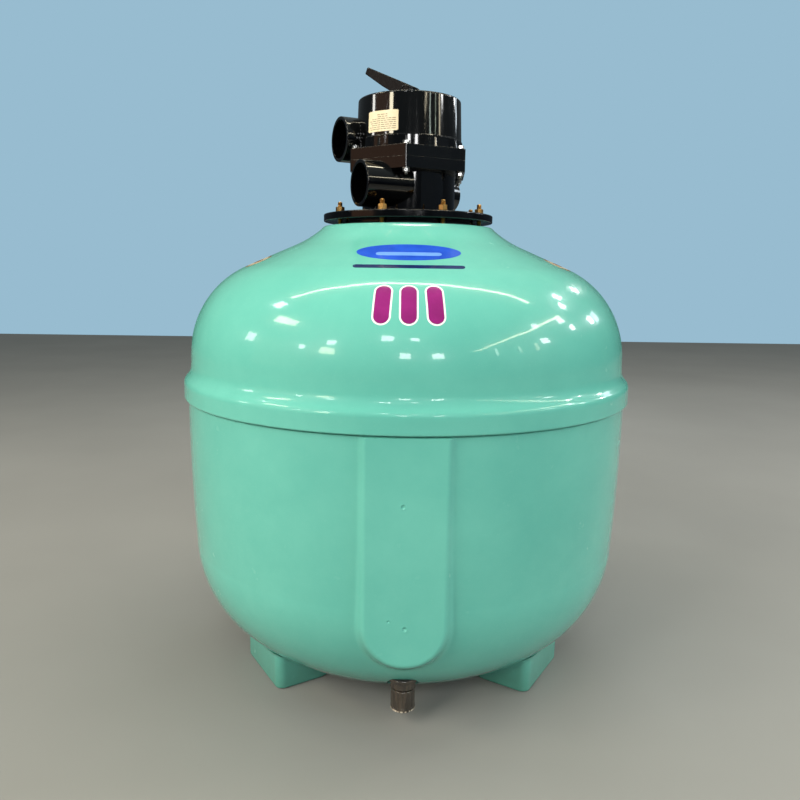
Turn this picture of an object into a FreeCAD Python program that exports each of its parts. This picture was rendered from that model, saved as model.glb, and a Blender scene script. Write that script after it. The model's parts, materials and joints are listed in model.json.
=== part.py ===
import FreeCAD, Part
import Sketcher
import math
import os
import re

# Top-mount sand filter: a two-shell fibreglass tank on four feet, with a
# six-way valve bolted to its neck and a drain fitting low at the front.
# Origin on the floor under the tank's axis, +Z up, front towards -Y, +X right.

doc = FreeCAD.newDocument("SandFilterTank")
sheet = doc.addObject("Spreadsheet::Sheet", "Sizes")

SIZES = [
    # shared by the features
    ("cut_past", 5, "how far a cut runs past the faces it opens"),
    ("bite", 1, "overlap of features that join"),
    # tank
    ("shell_radius", 380, "outer radius of the lower shell under the belt"),
    ("wall", 8, "laminate thickness"),
    ("bottom_height", 19, "underside of the flat bottom above the floor"),
    ("knuckle_radius", 191, "outer bend from bottom to side"),
    ("side_radius", 374.7, "outer radius where bottom knuckle meets side"),
    ("side_start", 210, "height where the knuckle ends"),
    ("side_full", 400, "height where the side reaches its full radius"),
    ("side_bow", 3500, "outer bend of the side between the two heights"),
    ("step_low", 457, "where the side starts to step in under the belt"),
    ("step_high", 459.5, "where the side has stepped in to the tongue"),
    ("belt_low", 460, "lower lip of the overlap belt"),
    ("belt_flat", 484, "top of the straight part of the belt"),
    ("belt_radius", 386.5, "outer radius of the belt"),
    ("belt_lip", 2.5, "rounding of the lower lip"),
    ("belt_crown", 14, "outer bend over the straight part of the belt"),
    ("belt_flare", 30, "hollow bend from the belt's crown to the dome"),
    ("belt_out", 374, "outer radius where the belt runs out"),
    ("bond_gap", 1.5, "adhesive between the two shells"),
    ("bond_low", 463, "lower edge of the adhesive"),
    ("ledge_low", 485, "ledge inside the upper shell, above the tongue"),
    ("ledge_high", 488, "height where the ledge meets the inner wall"),
    ("tongue_radius", 376.5, "outer radius of the lower shell inside the belt"),
    ("tongue_top", 484, "upper edge of the lower shell"),
    ("dome_radius", 373.4, "outer radius where the dome starts"),
    ("dome_bow", 900, "outer bend between belt and dome"),
    ("dome_start", 529.8, "height where the dome bend starts"),
    ("dome_bend", 160.8, "outer bend of the dome"),
    ("dome_slope", 23.7, "slope of the shoulder above the bend, degrees"),
    ("neck_slope", 41.5, "slope of the flare under the neck's edge, degrees"),
    ("neck_blend", 190, "hollow bend from the shoulder up to the neck"),
    ("neck_top", 745, "top face of the neck"),
    ("neck_edge", 4, "rounding of the neck's top edge"),
    ("neck_bore", 100, "radius of the neck's opening"),
    ("neck_thick", 14, "thickness of the neck flange"),
    # front panel
    ("panel_front", 383.5, "distance of the flat panel from the axis"),
    ("panel_half", 57, "half width of the panel's flat"),
    ("panel_low", 133, "lowest point of the panel's round end"),
    ("panel_depth", 48, "depth of the panel behind its face"),
    ("panel_draft", 32, "outward slope of the panel's sides, degrees"),
    # feet
    ("foot_angle", 32, "way each foot faces, from the X axis, degrees"),
    ("foot_aside", 22, "shift of each foot along its own face, away from the X axis"),
    ("foot_outer", 294, "outer face of a foot from the axis"),
    ("foot_inner", 200, "inner face of a foot from the axis"),
    ("foot_half", 70, "half width of a foot"),
    ("foot_tall", 76, "height of a foot's block before it is fitted"),
    ("foot_round", 14, "rounding of the upright corners"),
    # neck joint
    ("stud_circle", 126.5, "radius of the stud circle"),
    ("stud_count", 8, "studs round the neck"),
    ("stud_radius", 4, "M8 stud"),
    ("stud_bore", 4.5, "clearance hole for the studs"),
    ("stud_first", 25.5, "angle of the first stud, degrees"),
    ("stud_low", 716, "lower end of the studs"),
    ("stud_top", 783, "upper end of the studs"),
    ("ring_inner", 106, "inner radius of the backing ring"),
    ("ring_outer", 133.5, "outer radius of the backing ring"),
    ("ring_thick", 8, "thickness of the backing ring"),
    ("gasket_outer", 121, "outer radius of the neck gasket"),
    ("gasket_inner", 78, "inner radius of the neck gasket"),
    ("gasket_top", 749, "top of the neck gasket"),
    ("step_outer", 119, "outer radius of the raised step under the plate"),
    ("plate_low", 753.5, "underside of the plate's rim"),
    ("plate_top", 765.5, "top of the plate"),
    ("plate_radius", 146.6, "outer radius of the plate"),
    ("plate_edge", 1.5, "rounding of the plate's edges"),
    ("washer_radius", 8.5, "washer under a neck nut"),
    ("washer_thick", 1.5, "thickness of a neck washer"),
    ("nut_half", 6.5, "half the width across flats of a neck nut"),
    ("nut_tall", 8, "height of a neck nut"),
    # valve
    ("valve_turn", 27, "turn of the valve on the tank, degrees"),
    ("spigot_radius", 62, "outer radius of the valve's spigot in the plate"),
    ("spigot_bore", 54, "inner radius of the spigot"),
    ("spigot_low", 728, "lower end of the spigot"),
    ("body_radius", 80, "outer radius of the valve body"),
    ("body_bore", 72, "inner radius of the valve body"),
    ("body_floor", 774, "top of the body's floor"),
    ("flange_low", 833, "underside of the hexagonal flange"),
    ("flange_split", 851, "parting line of the hexagonal flange"),
    ("flange_high", 869, "top of the hexagonal flange"),
    ("flange_corner", 110, "corner radius of the hexagonal flange"),
    ("flange_round", 3, "rounding of the flange's upright corners"),
    ("deck_low", 836, "underside of the port deck"),
    ("deck_top", 844, "top of the port deck"),
    ("tube_outer", 30, "outer radius of the body's middle tube"),
    ("tube_bore", 25.2, "bore of the middle tube, for the standpipe"),
    ("tube_low", 734, "lower end of the middle tube"),
    ("tube_end", 815, "top of the standpipe's socket"),
    ("throat_bore", 20, "opening from the middle tube to the deck"),
    ("window_inner", 36, "inner radius of a deck window"),
    ("window_outer", 62, "outer radius of a deck window"),
    ("window_half", 20, "half angle of a deck window, degrees"),
    ("window_count", 6, "windows round the deck"),
    ("port_radius", 36.8, "outer radius of a port"),
    ("port_bore", 31.6, "socket bore of a port, for a 63 mm pipe"),
    ("port_throat", 27, "bore behind the socket"),
    ("port_depth", 38, "depth of the socket"),
    ("waste_depth", 38, "depth of the waste port's socket"),
    ("port_edge", 1, "rounding of the port's mouth"),
    ("port_aside", 42, "distance of a port's axis from the valve's axis"),
    ("port_reach", 112, "mouth of a port from the valve's axis"),
    ("port_root", 30, "where a port ends inside"),
    ("return_end", 38, "inner end of the return port's throat"),
    ("pump_end", 50, "inner end of the pump port's throat"),
    ("lower_port", 810, "height of the lower ports' axis"),
    ("upper_port", 890, "height of the upper port's axis"),
    ("waste_reach", 122, "mouth of the waste port from the valve's axis"),
    ("waste_swing", 30, "direction of the waste port in the valve, degrees"),
    ("drum_base", 91, "outer radius of the drum's base band"),
    ("band_top", 886, "top of the drum's base band"),
    ("drum_start", 887.5, "where the drum proper starts above the band"),
    ("drum_low", 89.5, "outer radius of the drum above the band"),
    ("drum_high", 87.2, "outer radius of the drum at its rim"),
    ("drum_top", 953.5, "top of the drum"),
    ("drum_edge", 3, "rounding of the drum's rim"),
    ("drum_bore", 80, "inner radius of the drum"),
    ("drum_roof", 941, "underside of the drum's roof"),
    ("hub_radius", 22, "raised hub on the drum"),
    ("hub_top", 954, "top of the raised hub"),
    ("rib_count", 12, "gussets round the drum's base"),
    ("rib_half", 1.6, "half thickness of a gusset"),
    ("rib_top", 884, "top of a gusset"),
    ("rib_out", 93.8, "outer end of a gusset"),
    ("bolt_circle", 100.5, "radius of the flange bolt circle"),
    ("bolt_count", 6, "bolts through the flange"),
    ("bolt_radius", 3, "M6 bolt"),
    ("bolt_bore", 3.3, "clearance hole for the flange bolts"),
    ("bolt_head", 5, "half the width across flats of an M6 head"),
    ("bolt_head_tall", 4.5, "height of an M6 bolt head"),
    ("bolt_low", 822.5, "lower end of the flange bolts"),
    ("bolt_nut_tall", 5.2, "height of an M6 nut"),
    ("bolt_washer", 6.2, "radius of an M6 washer"),
    ("bolt_washer_thick", 1.2, "thickness of an M6 washer"),
    ("seal_circle", 88, "centre radius of the body O-ring"),
    ("seal_radius", 2.4, "section radius of the body O-ring"),
    ("seal_play", 0.3, "side play of the O-ring in its groove"),
    # rotor
    ("spider_top", 847, "top of the spider gasket"),
    ("spider_radius", 69, "outer radius of the spider gasket"),
    ("spider_bore", 22, "bore of the spider gasket"),
    ("rotor_radius", 70, "outer radius of the rotor's foot"),
    ("rotor_rim_top", 857, "top of the rotor's foot"),
    ("rotor_shoulder", 893, "top of the rotor's cone"),
    ("rotor_cone", 30, "upper radius of the rotor's cone"),
    ("rotor_neck", 18, "radius of the rotor's neck"),
    ("rotor_top", 905, "top of the rotor's neck"),
    ("rotor_inner", 62, "radius of the hollow under the rotor"),
    ("hollow_step", 852, "height where the hollow starts to narrow"),
    ("hollow_top", 24, "upper radius of the hollow"),
    ("rotor_ceiling", 880, "top of the hollow under the rotor"),
    ("rotor_web", 3, "half thickness of the rotor's inner webs"),
    ("web_count", 3, "webs inside the rotor"),
    ("shaft_radius", 9, "radius of the shaft"),
    ("shaft_bore", 9.05, "bore for the shaft in the hub"),
    ("shaft_low", 886, "lower end of the shaft"),
    ("shaft_top", 973, "upper end of the shaft"),
    ("shaft_bevel", 1, "bevel of the shaft's upper edge"),
    ("seal_low", 944.5, "height of the lower shaft O-ring"),
    ("seal_high", 948.5, "height of the upper shaft O-ring"),
    ("shaft_seal_circle", 8.1, "centre radius of a shaft O-ring"),
    ("shaft_seal_radius", 0.9, "section radius of a shaft O-ring"),
    ("groove_play", 0.2, "play of a shaft O-ring in its groove"),
    ("thrust_radius", 18, "outer radius of the thrust washer"),
    ("thrust_bore", 9.4, "inner radius of the thrust washer"),
    ("thrust_top", 907, "top of the thrust washer"),
    ("spring_radius", 14, "mean radius of the spring"),
    ("spring_wire", 1.5, "wire radius of the spring"),
    ("spring_turns", 4, "working turns of the spring"),
    ("spring_play", 0.1, "gap between spring and seat"),
    ("wear_radius", 20, "outer radius of the wear plate"),
    ("wear_top", 955, "top of the wear plate"),
    ("wear_edge", 0.4, "rounding of the wear plate"),
    # handle
    ("handle_turn", 147, "direction of the handle, degrees"),
    ("handle_rise", 24.5, "rise of the handle at rest, degrees"),
    ("pin_height", 968, "height of the handle's pin"),
    ("pin_radius", 3, "radius of the handle's pin"),
    ("pin_bore", 3.05, "bore for the pin in the handle"),
    ("pin_half", 15.5, "half length of the pin"),
    ("handle_hub", 12.5, "radius of the handle's hub"),
    ("handle_half", 15, "half width of the handle"),
    ("handle_long", 91.5, "length of the handle from its pin"),
    ("handle_tip", 12, "depth of the handle at its tip"),
    ("handle_leave", 30, "where the lever's underside leaves the hub, degrees"),
    ("handle_knee", 48, "where the underside bends towards the tip"),
    ("handle_knee_depth", 6.5, "depth of the underside at that bend"),
    ("tip_under", 2, "lower rounding of the tip"),
    ("tip_over", 3, "upper rounding of the tip"),
    ("slot_half", 9.4, "half width of the handle's slot"),
    ("slot_back", 11, "reach of the slot into the lever"),
    ("label_low", 892, "lower edge of the data label"),
    ("label_high", 924, "upper edge of the data label"),
    ("label_near", 12, "right edge of the label from the front, degrees"),
    ("label_far", 48.5, "left edge of the label from the front, degrees"),
    ("label_thick", 0.4, "thickness of the label"),
    ("label_gap", 0.05, "glue behind the label"),
    # inside the tank
    ("pipe_radius", 25, "outer radius of the standpipe"),
    ("pipe_bore", 22, "inner radius of the standpipe"),
    ("pipe_low", 70, "lower end of the standpipe"),
    ("basket_radius", 54, "outer radius of the top diffuser"),
    ("basket_bore", 50, "inner radius of the top diffuser"),
    ("basket_fit", 30.2, "bore of the diffuser's floor, round the middle tube"),
    ("basket_step", 720, "underside of the diffuser's collar"),
    ("basket_top", 738, "top of the diffuser's collar"),
    ("basket_low", 640, "underside of the top diffuser"),
    ("basket_floor", 645, "top of the diffuser's floor"),
    ("basket_collar", 70, "radius of the diffuser's collar"),
    ("slot_low", 655, "lower end of the diffuser's slots"),
    ("slot_high", 712, "upper end of the diffuser's slots"),
    ("slot_count", 16, "slots in the diffuser"),
    ("slot_wide", 2, "half width of a diffuser slot"),
    ("seal_pipe_low", 808, "underside of the standpipe seal"),
    ("hub_outer", 46, "outer radius of the lateral hub"),
    ("hub_high", 118, "top of the lateral hub"),
    ("lateral_height", 90, "height of the laterals' axis"),
    ("lateral_radius", 11, "outer radius of a lateral"),
    ("lateral_bore", 8, "inner radius of a lateral"),
    ("lateral_start", 32, "inner end of a lateral"),
    ("lateral_end", 236, "outer end of a lateral"),
    ("lateral_first", 22.5, "direction of the first lateral, degrees"),
    ("lateral_count", 8, "laterals round the hub"),
    ("lateral_cap", 4, "closed end of a lateral"),
    ("lateral_slot_start", 54, "place of a lateral's first slot"),
    ("lateral_slot_pitch", 12.4, "distance between a lateral's slots"),
    ("lateral_slot_top", 87, "upper end of a lateral's slots"),
    ("lateral_slots", 14, "slots in a lateral"),
    ("lateral_slot_wide", 1.2, "width of a lateral's slot"),
    # drain
    ("drain_out", 303, "distance of the drain's axis from the tank's axis"),
    ("recess_radius", 24.5, "radius of the moulded recess"),
    ("recess_top", 79, "top of the moulded recess"),
    ("boss_radius", 33, "radius of the moulded boss"),
    ("boss_top", 92, "top of the moulded boss"),
    ("drain_hole", 15.3, "hole through the boss"),
    ("drain_gasket_low", 77, "underside of the drain gasket"),
    ("collar_radius", 23, "outer radius of the drain collar"),
    ("collar_low", 70, "underside of the drain collar"),
    ("hex_low", 58.8, "underside of the collar's hexagon"),
    ("hex_half", 18.5, "half the width across the collar's flats"),
    ("nipple_radius", 15, "outer radius of the drain nipple"),
    ("nipple_bore", 11, "bore of the drain nipple"),
    ("nipple_low", 30, "lower end of the drain nipple"),
    ("nipple_top", 112, "upper end of the drain nipple"),
    ("locknut_half", 18, "half the width across flats of the lock nut"),
    ("locknut_top", 102, "top of the lock nut"),
    ("strainer_radius", 18, "outer radius of the drain strainer"),
    ("strainer_top", 140, "top of the drain strainer"),
    ("strainer_roof", 137, "underside of the strainer's roof"),
    ("strainer_slots", 12, "slots round the strainer"),
    ("strainer_slot_half", 1, "half width of a strainer slot"),
    ("strainer_slot_low", 116, "lower end of a strainer slot"),
    ("strainer_slot_top", 134, "upper end of a strainer slot"),
    ("cap_radius", 18.2, "outer radius of the drain cap"),
    ("cap_bore", 15.35, "bore of the drain cap"),
    ("cap_top", 57, "top of the drain cap"),
    ("cap_low", 23.6, "underside of the drain cap"),
    ("cap_seal_low", 27.6, "underside of the cap's seal"),
    ("cap_seal_radius", 15, "outer radius of the cap's seal"),
    ("cap_seal_bore", 4, "bore of the cap's seal"),
    ("grip_count", 16, "grip grooves round the cap"),
    ("grip_radius", 1.5, "radius of a grip groove"),
    ("grip_circle", 18.8, "circle of the grip grooves' centres"),
    ("grip_top", 53, "upper end of the grip grooves"),
    ("rim_radius", 18.6, "outer radius of the cap's lower rim"),
    ("rim_top", 27.6, "top of the cap's lower rim"),
    ("cap_bevel", 1, "bevels of the cap"),
]

for row, (alias, size, note) in enumerate(SIZES, start=1):
    sheet.set("A%d" % row, alias)
    sheet.set("B%d" % row, str(size))
    sheet.set("C%d" % row, note)
    sheet.setAlias("B%d" % row, alias)
doc.recompute()

ALIASES = {alias for alias, size, note in SIZES}
PARTS = []
VECTOR = FreeCAD.Vector
UP = VECTOR(0, 0, 1)
FULL_TURN = 360
HEX_CORNERS = 6
HEX_INSIDE = 120
MATCH = 0.01


# ---------------------------------------------------------------- helpers

def bound(text):
    """Put the sheet's name before each alias in an expression."""
    def named(word):
        return ("Sizes." if word.group() in ALIASES else "") + word.group()
    return re.sub(r"[a-z_]+", named, text)


def size_of(text):
    """The number that an expression over the sheet gives."""
    result = sheet.evalExpression(bound(text))
    return float(getattr(result, "Value", result))


def part(label):
    """A new PartDesign body that becomes one file."""
    body = doc.addObject("PartDesign::Body", label)
    body.Label = label
    body.AllowCompound = True
    PARTS.append(body)
    return body


def tool_body(label):
    """A PartDesign body that only serves a boolean."""
    body = doc.addObject("PartDesign::Body", label)
    body.Label = label
    return body


def origin_feature(body, role):
    return next(item for item in body.Origin.OriginFeatures if item.Role == role)


def sketch_in(body, name, plane, offset="0", swing="0"):
    """A sketch on one of the body's origin planes, moved along its normal.
    swing first turns an upright YZ sketch about the Z axis, in degrees."""
    item = body.newObject("Sketcher::SketchObject", body.Name + "_" + name)
    item.AttachmentSupport = [(origin_feature(body, plane), "")]
    item.MapMode = "FlatFace"
    if swing != "0":
        turned = FreeCAD.Rotation(VECTOR(0, 1, 0), size_of(swing))
        item.AttachmentOffset = FreeCAD.Placement(turned.multVec(VECTOR(0, 0, size_of(offset))), turned)
        return item
    if offset != "0":
        item.setExpression("AttachmentOffset.Base.z", bound(offset))
    return item


def hold_point(item, geometry, point, across, up):
    """Tie a point of the sketch to expressions over the sheet."""
    for kind, axis, text in (("DistanceX", -2, across), ("DistanceY", -1, up)):
        if text == "0":
            item.addConstraint(Sketcher.Constraint("PointOnObject", geometry, point, axis))
        else:
            number = item.addConstraint(Sketcher.Constraint(kind, geometry, point, size_of(text)))
            item.setExpression("Constraints[%d]" % number, bound(text))


def outline(item, corners):
    """A closed outline. A corner is (across, up), or (across, up, radius, side)
    where an arc arrives at it; side is 1 where the arc turns left, -1 right."""
    places = [VECTOR(size_of(c[0]), size_of(c[1]), 0) for c in corners]
    edges = []
    for index, corner in enumerate(corners):
        here = places[index - 1]
        there = places[index]
        if len(corner) == 2:
            number = item.addGeometry(Part.LineSegment(here, there), False)
            edges.append((number, 1, 2))
            continue
        radius = size_of(corner[2])
        chord = there - here
        left = VECTOR(-chord.y, chord.x, 0).normalize()
        rise = math.sqrt(max(radius ** 2 - (chord.Length / 2) ** 2, 0))
        centre = (here + there) * 0.5 + left * rise * corner[3]
        first, last = (here, there) if corner[3] > 0 else (there, here)
        turn_first = math.atan2(first.y - centre.y, first.x - centre.x)
        turn_last = math.atan2(last.y - centre.y, last.x - centre.x)
        circle = Part.Circle(centre, UP, radius)
        number = item.addGeometry(Part.ArcOfCircle(circle, turn_first, turn_last), False)
        edges.append((number, 1, 2) if corner[3] > 0 else (number, 2, 1))
        held = item.addConstraint(Sketcher.Constraint("Radius", number, radius))
        item.setExpression("Constraints[%d]" % held, bound(corner[2]))
    for index, corner in enumerate(corners):
        number, start, end = edges[index]
        following = edges[(index + 1) % len(edges)]
        item.addConstraint(Sketcher.Constraint("Coincident", number, end, following[0], following[1]))
        hold_point(item, number, end, corner[0], corner[1])


def circle(item, across, up, radius):
    """A circle whose centre and radius are tied to the sheet."""
    centre = VECTOR(size_of(across), size_of(up), 0)
    number = item.addGeometry(Part.Circle(centre, UP, size_of(radius)), False)
    held = item.addConstraint(Sketcher.Constraint("Radius", number, size_of(radius)))
    item.setExpression("Constraints[%d]" % held, bound(radius))
    hold_point(item, number, 3, across, up)


def hexagon(item, across, half):
    """A hexagon centred at (across, 0) with two flats square to X."""
    side = "(%s) / sqrt(3)" % half
    outline(item, [
        ("%s + %s" % (across, half), "-" + side),
        ("%s + %s" % (across, half), side),
        (across, "2 * " + side),
        ("%s - %s" % (across, half), side),
        ("%s - %s" % (across, half), "-" + side),
        (across, "-2 * " + side),
    ])


def turn(body, name, corners):
    """Add the solid that an outline in the XZ plane makes round the Z axis."""
    item = sketch_in(body, name, "XZ_Plane")
    outline(item, corners)
    feature = body.newObject("PartDesign::Revolution", item.Name + "_turned")
    feature.Profile = item
    feature.ReferenceAxis = (item, ["V_Axis"])
    feature.Angle = FULL_TURN
    item.Visibility = False
    doc.recompute()
    return feature


def turn_away(body, name, corners):
    """Cut the solid that an outline in the XZ plane makes round the Z axis."""
    before = body.Shape.Volume
    item = sketch_in(body, name, "XZ_Plane")
    outline(item, corners)
    feature = body.newObject("PartDesign::Groove", item.Name + "_groove")
    feature.Profile = item
    feature.ReferenceAxis = (item, ["V_Axis"])
    feature.Angle = FULL_TURN
    doc.recompute()
    must_shrink(body, before, feature)
    return feature


def must_shrink(body, before, feature):
    if not body.Shape.Volume < before - 1:
        raise RuntimeError(feature.Name + " removed nothing")


def raise_from(body, item, length, backward=False):
    """Pad a sketch along its normal, or against it."""
    feature = body.newObject("PartDesign::Pad", item.Name + "_pad")
    feature.Profile = item
    feature.setExpression("Length", bound(length))
    feature.Reversed = backward
    doc.recompute()
    return feature


def cut_from(body, item, length, forward=False):
    """Pocket a sketch against its normal, or along it."""
    before = body.Shape.Volume
    feature = body.newObject("PartDesign::Pocket", item.Name + "_cut")
    feature.Profile = item
    feature.setExpression("Length", bound(length))
    feature.Reversed = forward
    doc.recompute()
    must_shrink(body, before, feature)
    return feature


def all_round(body, features, count):
    """Repeat features evenly round the body's Z axis."""
    pattern = body.newObject("PartDesign::PolarPattern", features[-1].Name + "_round")
    pattern.Originals = features
    pattern.Axis = (origin_feature(body, "Z_Axis"), [""])
    pattern.Angle = FULL_TURN
    if isinstance(count, str):
        pattern.setExpression("Occurrences", bound(count))
    else:
        pattern.Occurrences = count
    body.Tip = pattern
    doc.recompute()
    return pattern


def rounded(body, radius, wanted):
    """Fillet the edges of the body for which wanted(edge) is true."""
    names = ["Edge%d" % (n + 1) for n, edge in enumerate(body.Shape.Edges) if wanted(edge)]
    if not names:
        raise RuntimeError(body.Name + " has no such edge to round")
    base = body.Tip
    feature = body.newObject("PartDesign::Fillet", body.Name + "_fillet")
    feature.Base = (base, names)
    feature.setExpression("Radius", bound(radius))
    body.Tip = feature
    doc.recompute()
    return feature


def ring_edge(radius, height):
    """A test for whole circles of a radius about the Z axis at a height."""
    def wanted(edge):
        curve = edge.Curve
        return (isinstance(curve, Part.Circle) and abs(curve.Radius - size_of(radius)) < MATCH
                and abs(curve.Center.z - size_of(height)) < MATCH
                and math.hypot(curve.Center.x, curve.Center.y) < MATCH)
    return wanted


def ring(label, inner, outer, low, high):
    """A flat ring about the Z axis, as a part of its own."""
    body = part(label)
    turn(body, "section", [(inner, low), (outer, low), (outer, high), (inner, high)])
    return body


def o_ring(label, circle_radius, section, height):
    """A rubber ring of round section about the Z axis."""
    body = part(label)
    item = sketch_in(body, "section", "XZ_Plane")
    circle(item, circle_radius, height, section)
    feature = body.newObject("PartDesign::Revolution", label + "_turned")
    feature.Profile = item
    feature.ReferenceAxis = (item, ["V_Axis"])
    feature.Angle = FULL_TURN
    doc.recompute()
    return body


def spin(item, angle):
    """Turn an object about the Z axis by a size in the sheet."""
    item.Placement = FreeCAD.Placement(VECTOR(0, 0, 0), FreeCAD.Rotation(UP, size_of(angle)))


def shift(item, across, away):
    """Move an object on the floor plane by sizes in the sheet."""
    item.Placement = FreeCAD.Placement(VECTOR(size_of(across), size_of(away), 0), FreeCAD.Rotation())


# ------------------------------------------------------------------- tank

def lower_outside(body, name):
    """Outer form of the lower shell, as a full solid."""
    return turn(body, name, [
        ("0", "bottom_height"),
        ("side_radius - knuckle_radius", "bottom_height"),
        ("side_radius", "side_start", "knuckle_radius", 1),
        ("shell_radius", "side_full", "side_bow", 1),
        ("shell_radius", "step_low"),
        ("tongue_radius", "step_high"),
        ("tongue_radius", "tongue_top"),
        ("0", "tongue_top"),
    ])


def panel_on(body):
    """Flat raised panel down the front, with a round lower end."""
    item = sketch_in(body, "panel", "XZ_Plane", "panel_front")
    outline(item, [
        ("-panel_half", "step_high"),
        ("-panel_half", "panel_low + panel_half"),
        ("0", "panel_low", "panel_half", 1),
        ("panel_half", "panel_low + panel_half", "panel_half", 1),
        ("panel_half", "step_high"),
    ])
    pad = raise_from(body, item, "panel_depth", backward=True)
    pad.setExpression("TaperAngle", bound("panel_draft"))
    doc.recompute()


def upright(label, across, away, radius, low, high):
    """A plain upright cylinder for the booleans of the shells."""
    item = doc.addObject("Part::Cylinder", label)
    item.setExpression("Radius", bound(radius))
    item.setExpression("Height", bound("%s - (%s)" % (high, low)))
    foot = VECTOR(size_of(across), size_of(away), size_of(low))
    item.Placement = FreeCAD.Placement(foot, FreeCAD.Rotation())
    return item


def boolean(kind, label, base, tool):
    item = doc.addObject("Part::" + kind, label)
    item.Base = base
    item.Tool = tool
    doc.recompute()
    return item


def as_part(item, label):
    """Take a boolean's result as a part of the assembly."""
    item.Label = label
    PARTS.append(item)
    return item


def make_lower_shell():
    """Lower shell with its front panel and, inside, the boss for the drain."""
    form = tool_body("lower_form")
    lower_outside(form, "outside")
    panel_on(form)
    turn_away(form, "belt_room", [
        ("tongue_radius", "step_high"),
        ("shell_radius + panel_depth", "step_high"),
        ("shell_radius + panel_depth", "tongue_top + cut_past"),
        ("0", "tongue_top + cut_past"),
        ("0", "tongue_top"),
        ("tongue_radius", "tongue_top"),
    ])
    solid = tool_body("lower_block")
    lower_outside(solid, "outside")
    turn_away(form, "inside", [
        ("0", "bottom_height + wall"),
        ("side_radius - knuckle_radius", "bottom_height + wall"),
        ("side_radius - wall", "side_start", "knuckle_radius - wall", 1),
        ("shell_radius - wall", "side_full", "side_bow", 1),
        ("shell_radius - wall", "step_low - wall"),
        ("tongue_radius - wall", "step_high - wall"),
        ("tongue_radius - wall", "tongue_top + cut_past"),
        ("0", "tongue_top + cut_past"),
    ])
    boss = upright("drain_boss", "0", "-drain_out", "boss_radius", "bottom_height", "boss_top")
    inner_boss = boolean("Common", "drain_boss_inside", boss, solid)
    joined = doc.addObject("Part::Fuse", "lower_with_boss")
    joined.Base = form
    joined.Tool = inner_boss
    recess = upright("drain_recess", "0", "-drain_out", "recess_radius",
                     "bottom_height - cut_past", "recess_top")
    hole = upright("drain_way", "0", "-drain_out", "drain_hole",
                   "bottom_height", "boss_top + cut_past")
    recessed = boolean("Cut", "lower_recessed", joined, recess)
    as_part(boolean("Cut", "lower_shell_cut", recessed, hole), "lower_shell")
    return solid


def make_feet(shell_block):
    """Four solid feet, each fitted to the underside of the lower shell."""
    facing = size_of("foot_angle")
    feet = [
        ("back_right_foot", facing, ""),
        ("back_left_foot", 180 - facing, "-"),
        ("front_left_foot", 180 + facing, ""),
        ("front_right_foot", -facing, "-"),
    ]
    for label, turned, side in feet:
        near = side + "foot_aside - foot_half"
        far = side + "foot_aside + foot_half"
        body = tool_body(label + "_block")
        item = sketch_in(body, "plan", "XY_Plane")
        outline(item, [
            ("foot_inner", near + " + foot_round"),
            ("foot_inner + foot_round", near, "foot_round", 1),
            ("foot_outer - foot_round", near),
            ("foot_outer", near + " + foot_round", "foot_round", 1),
            ("foot_outer", far + " - foot_round"),
            ("foot_outer - foot_round", far, "foot_round", 1),
            ("foot_inner + foot_round", far),
            ("foot_inner", far + " - foot_round", "foot_round", 1),
        ])
        raise_from(body, item, "foot_tall")
        body.Placement = FreeCAD.Placement(VECTOR(0, 0, 0), FreeCAD.Rotation(UP, turned))
        fitted = boolean("Cut", label + "_cut", body, shell_block)
        as_part(fitted, label)


def make_upper_shell():
    """Upper shell: belt, dome, shoulder and neck in one moulding."""
    slope = "dome_slope"
    bend_across = "dome_radius - dome_bend + dome_bend * sin(%s)" % slope
    bend_up = "dome_start + dome_bend * cos(%s)" % slope
    flare_across = "neck_blend * (sin(neck_slope) - sin(%s))" % slope
    flare_up = "neck_blend * (cos(%s) - cos(neck_slope))" % slope
    edge_up = "neck_top - neck_edge * (1 - cos(neck_slope))"
    edge_across = "%s - %s - (%s - (%s) - %s) / tan(%s)" % (
        bend_across, flare_across, edge_up, bend_up, flare_up, slope)
    crown_out = "belt_radius - belt_out"
    bends = "belt_crown + belt_flare"
    crown_up = "sqrt(2 * (%s) * (%s) - (%s)^2)" % (crown_out, bends, crown_out)
    crown_share = "belt_crown / (%s)" % bends
    inner_bend = "dome_bend - wall"
    inner_across = "dome_radius - dome_bend + (%s) * sin(%s)" % (inner_bend, slope)
    inner_up = "dome_start + (%s) * cos(%s)" % (inner_bend, slope)
    under_neck = "neck_top - neck_thick"
    under_across = "%s - (%s - (%s)) / tan(%s)" % (inner_across, under_neck, inner_up, slope)
    body = part("upper_shell")
    turn(body, "wall", [
        ("tongue_radius + bond_gap", "belt_low"),
        ("belt_radius - belt_lip", "belt_low"),
        ("belt_radius", "belt_low + belt_lip", "belt_lip", 1),
        ("belt_radius", "belt_flat"),
        ("belt_radius - (%s) * %s" % (crown_out, crown_share),
         "belt_flat + %s * %s" % (crown_up, crown_share), "belt_crown", 1),
        ("belt_out", "belt_flat + " + crown_up, "belt_flare", -1),
        ("dome_radius", "dome_start", "dome_bow", -1),
        (bend_across, bend_up, "dome_bend", 1),
        ("%s + %s" % (edge_across, flare_across), "%s - %s" % (edge_up, flare_up)),
        (edge_across, edge_up, "neck_blend", -1),
        ("%s - neck_edge * sin(neck_slope)" % edge_across, "neck_top", "neck_edge", 1),
        ("neck_bore", "neck_top"),
        ("neck_bore", under_neck),
        (under_across, under_neck),
        (inner_across, inner_up),
        ("dome_radius - wall", "dome_start", inner_bend, -1),
        ("dome_radius - wall", "ledge_high"),
        ("tongue_radius + bond_gap", "ledge_low"),
    ])
    item = sketch_in(body, "stud_hole", "XY_Plane", "neck_top - neck_thick - cut_past")
    circle(item, "stud_circle * cos(stud_first)", "stud_circle * sin(stud_first)", "stud_bore")
    hole = cut_from(body, item, "neck_thick + 2 * cut_past", forward=True)
    all_round(body, [hole], "stud_count")


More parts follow.
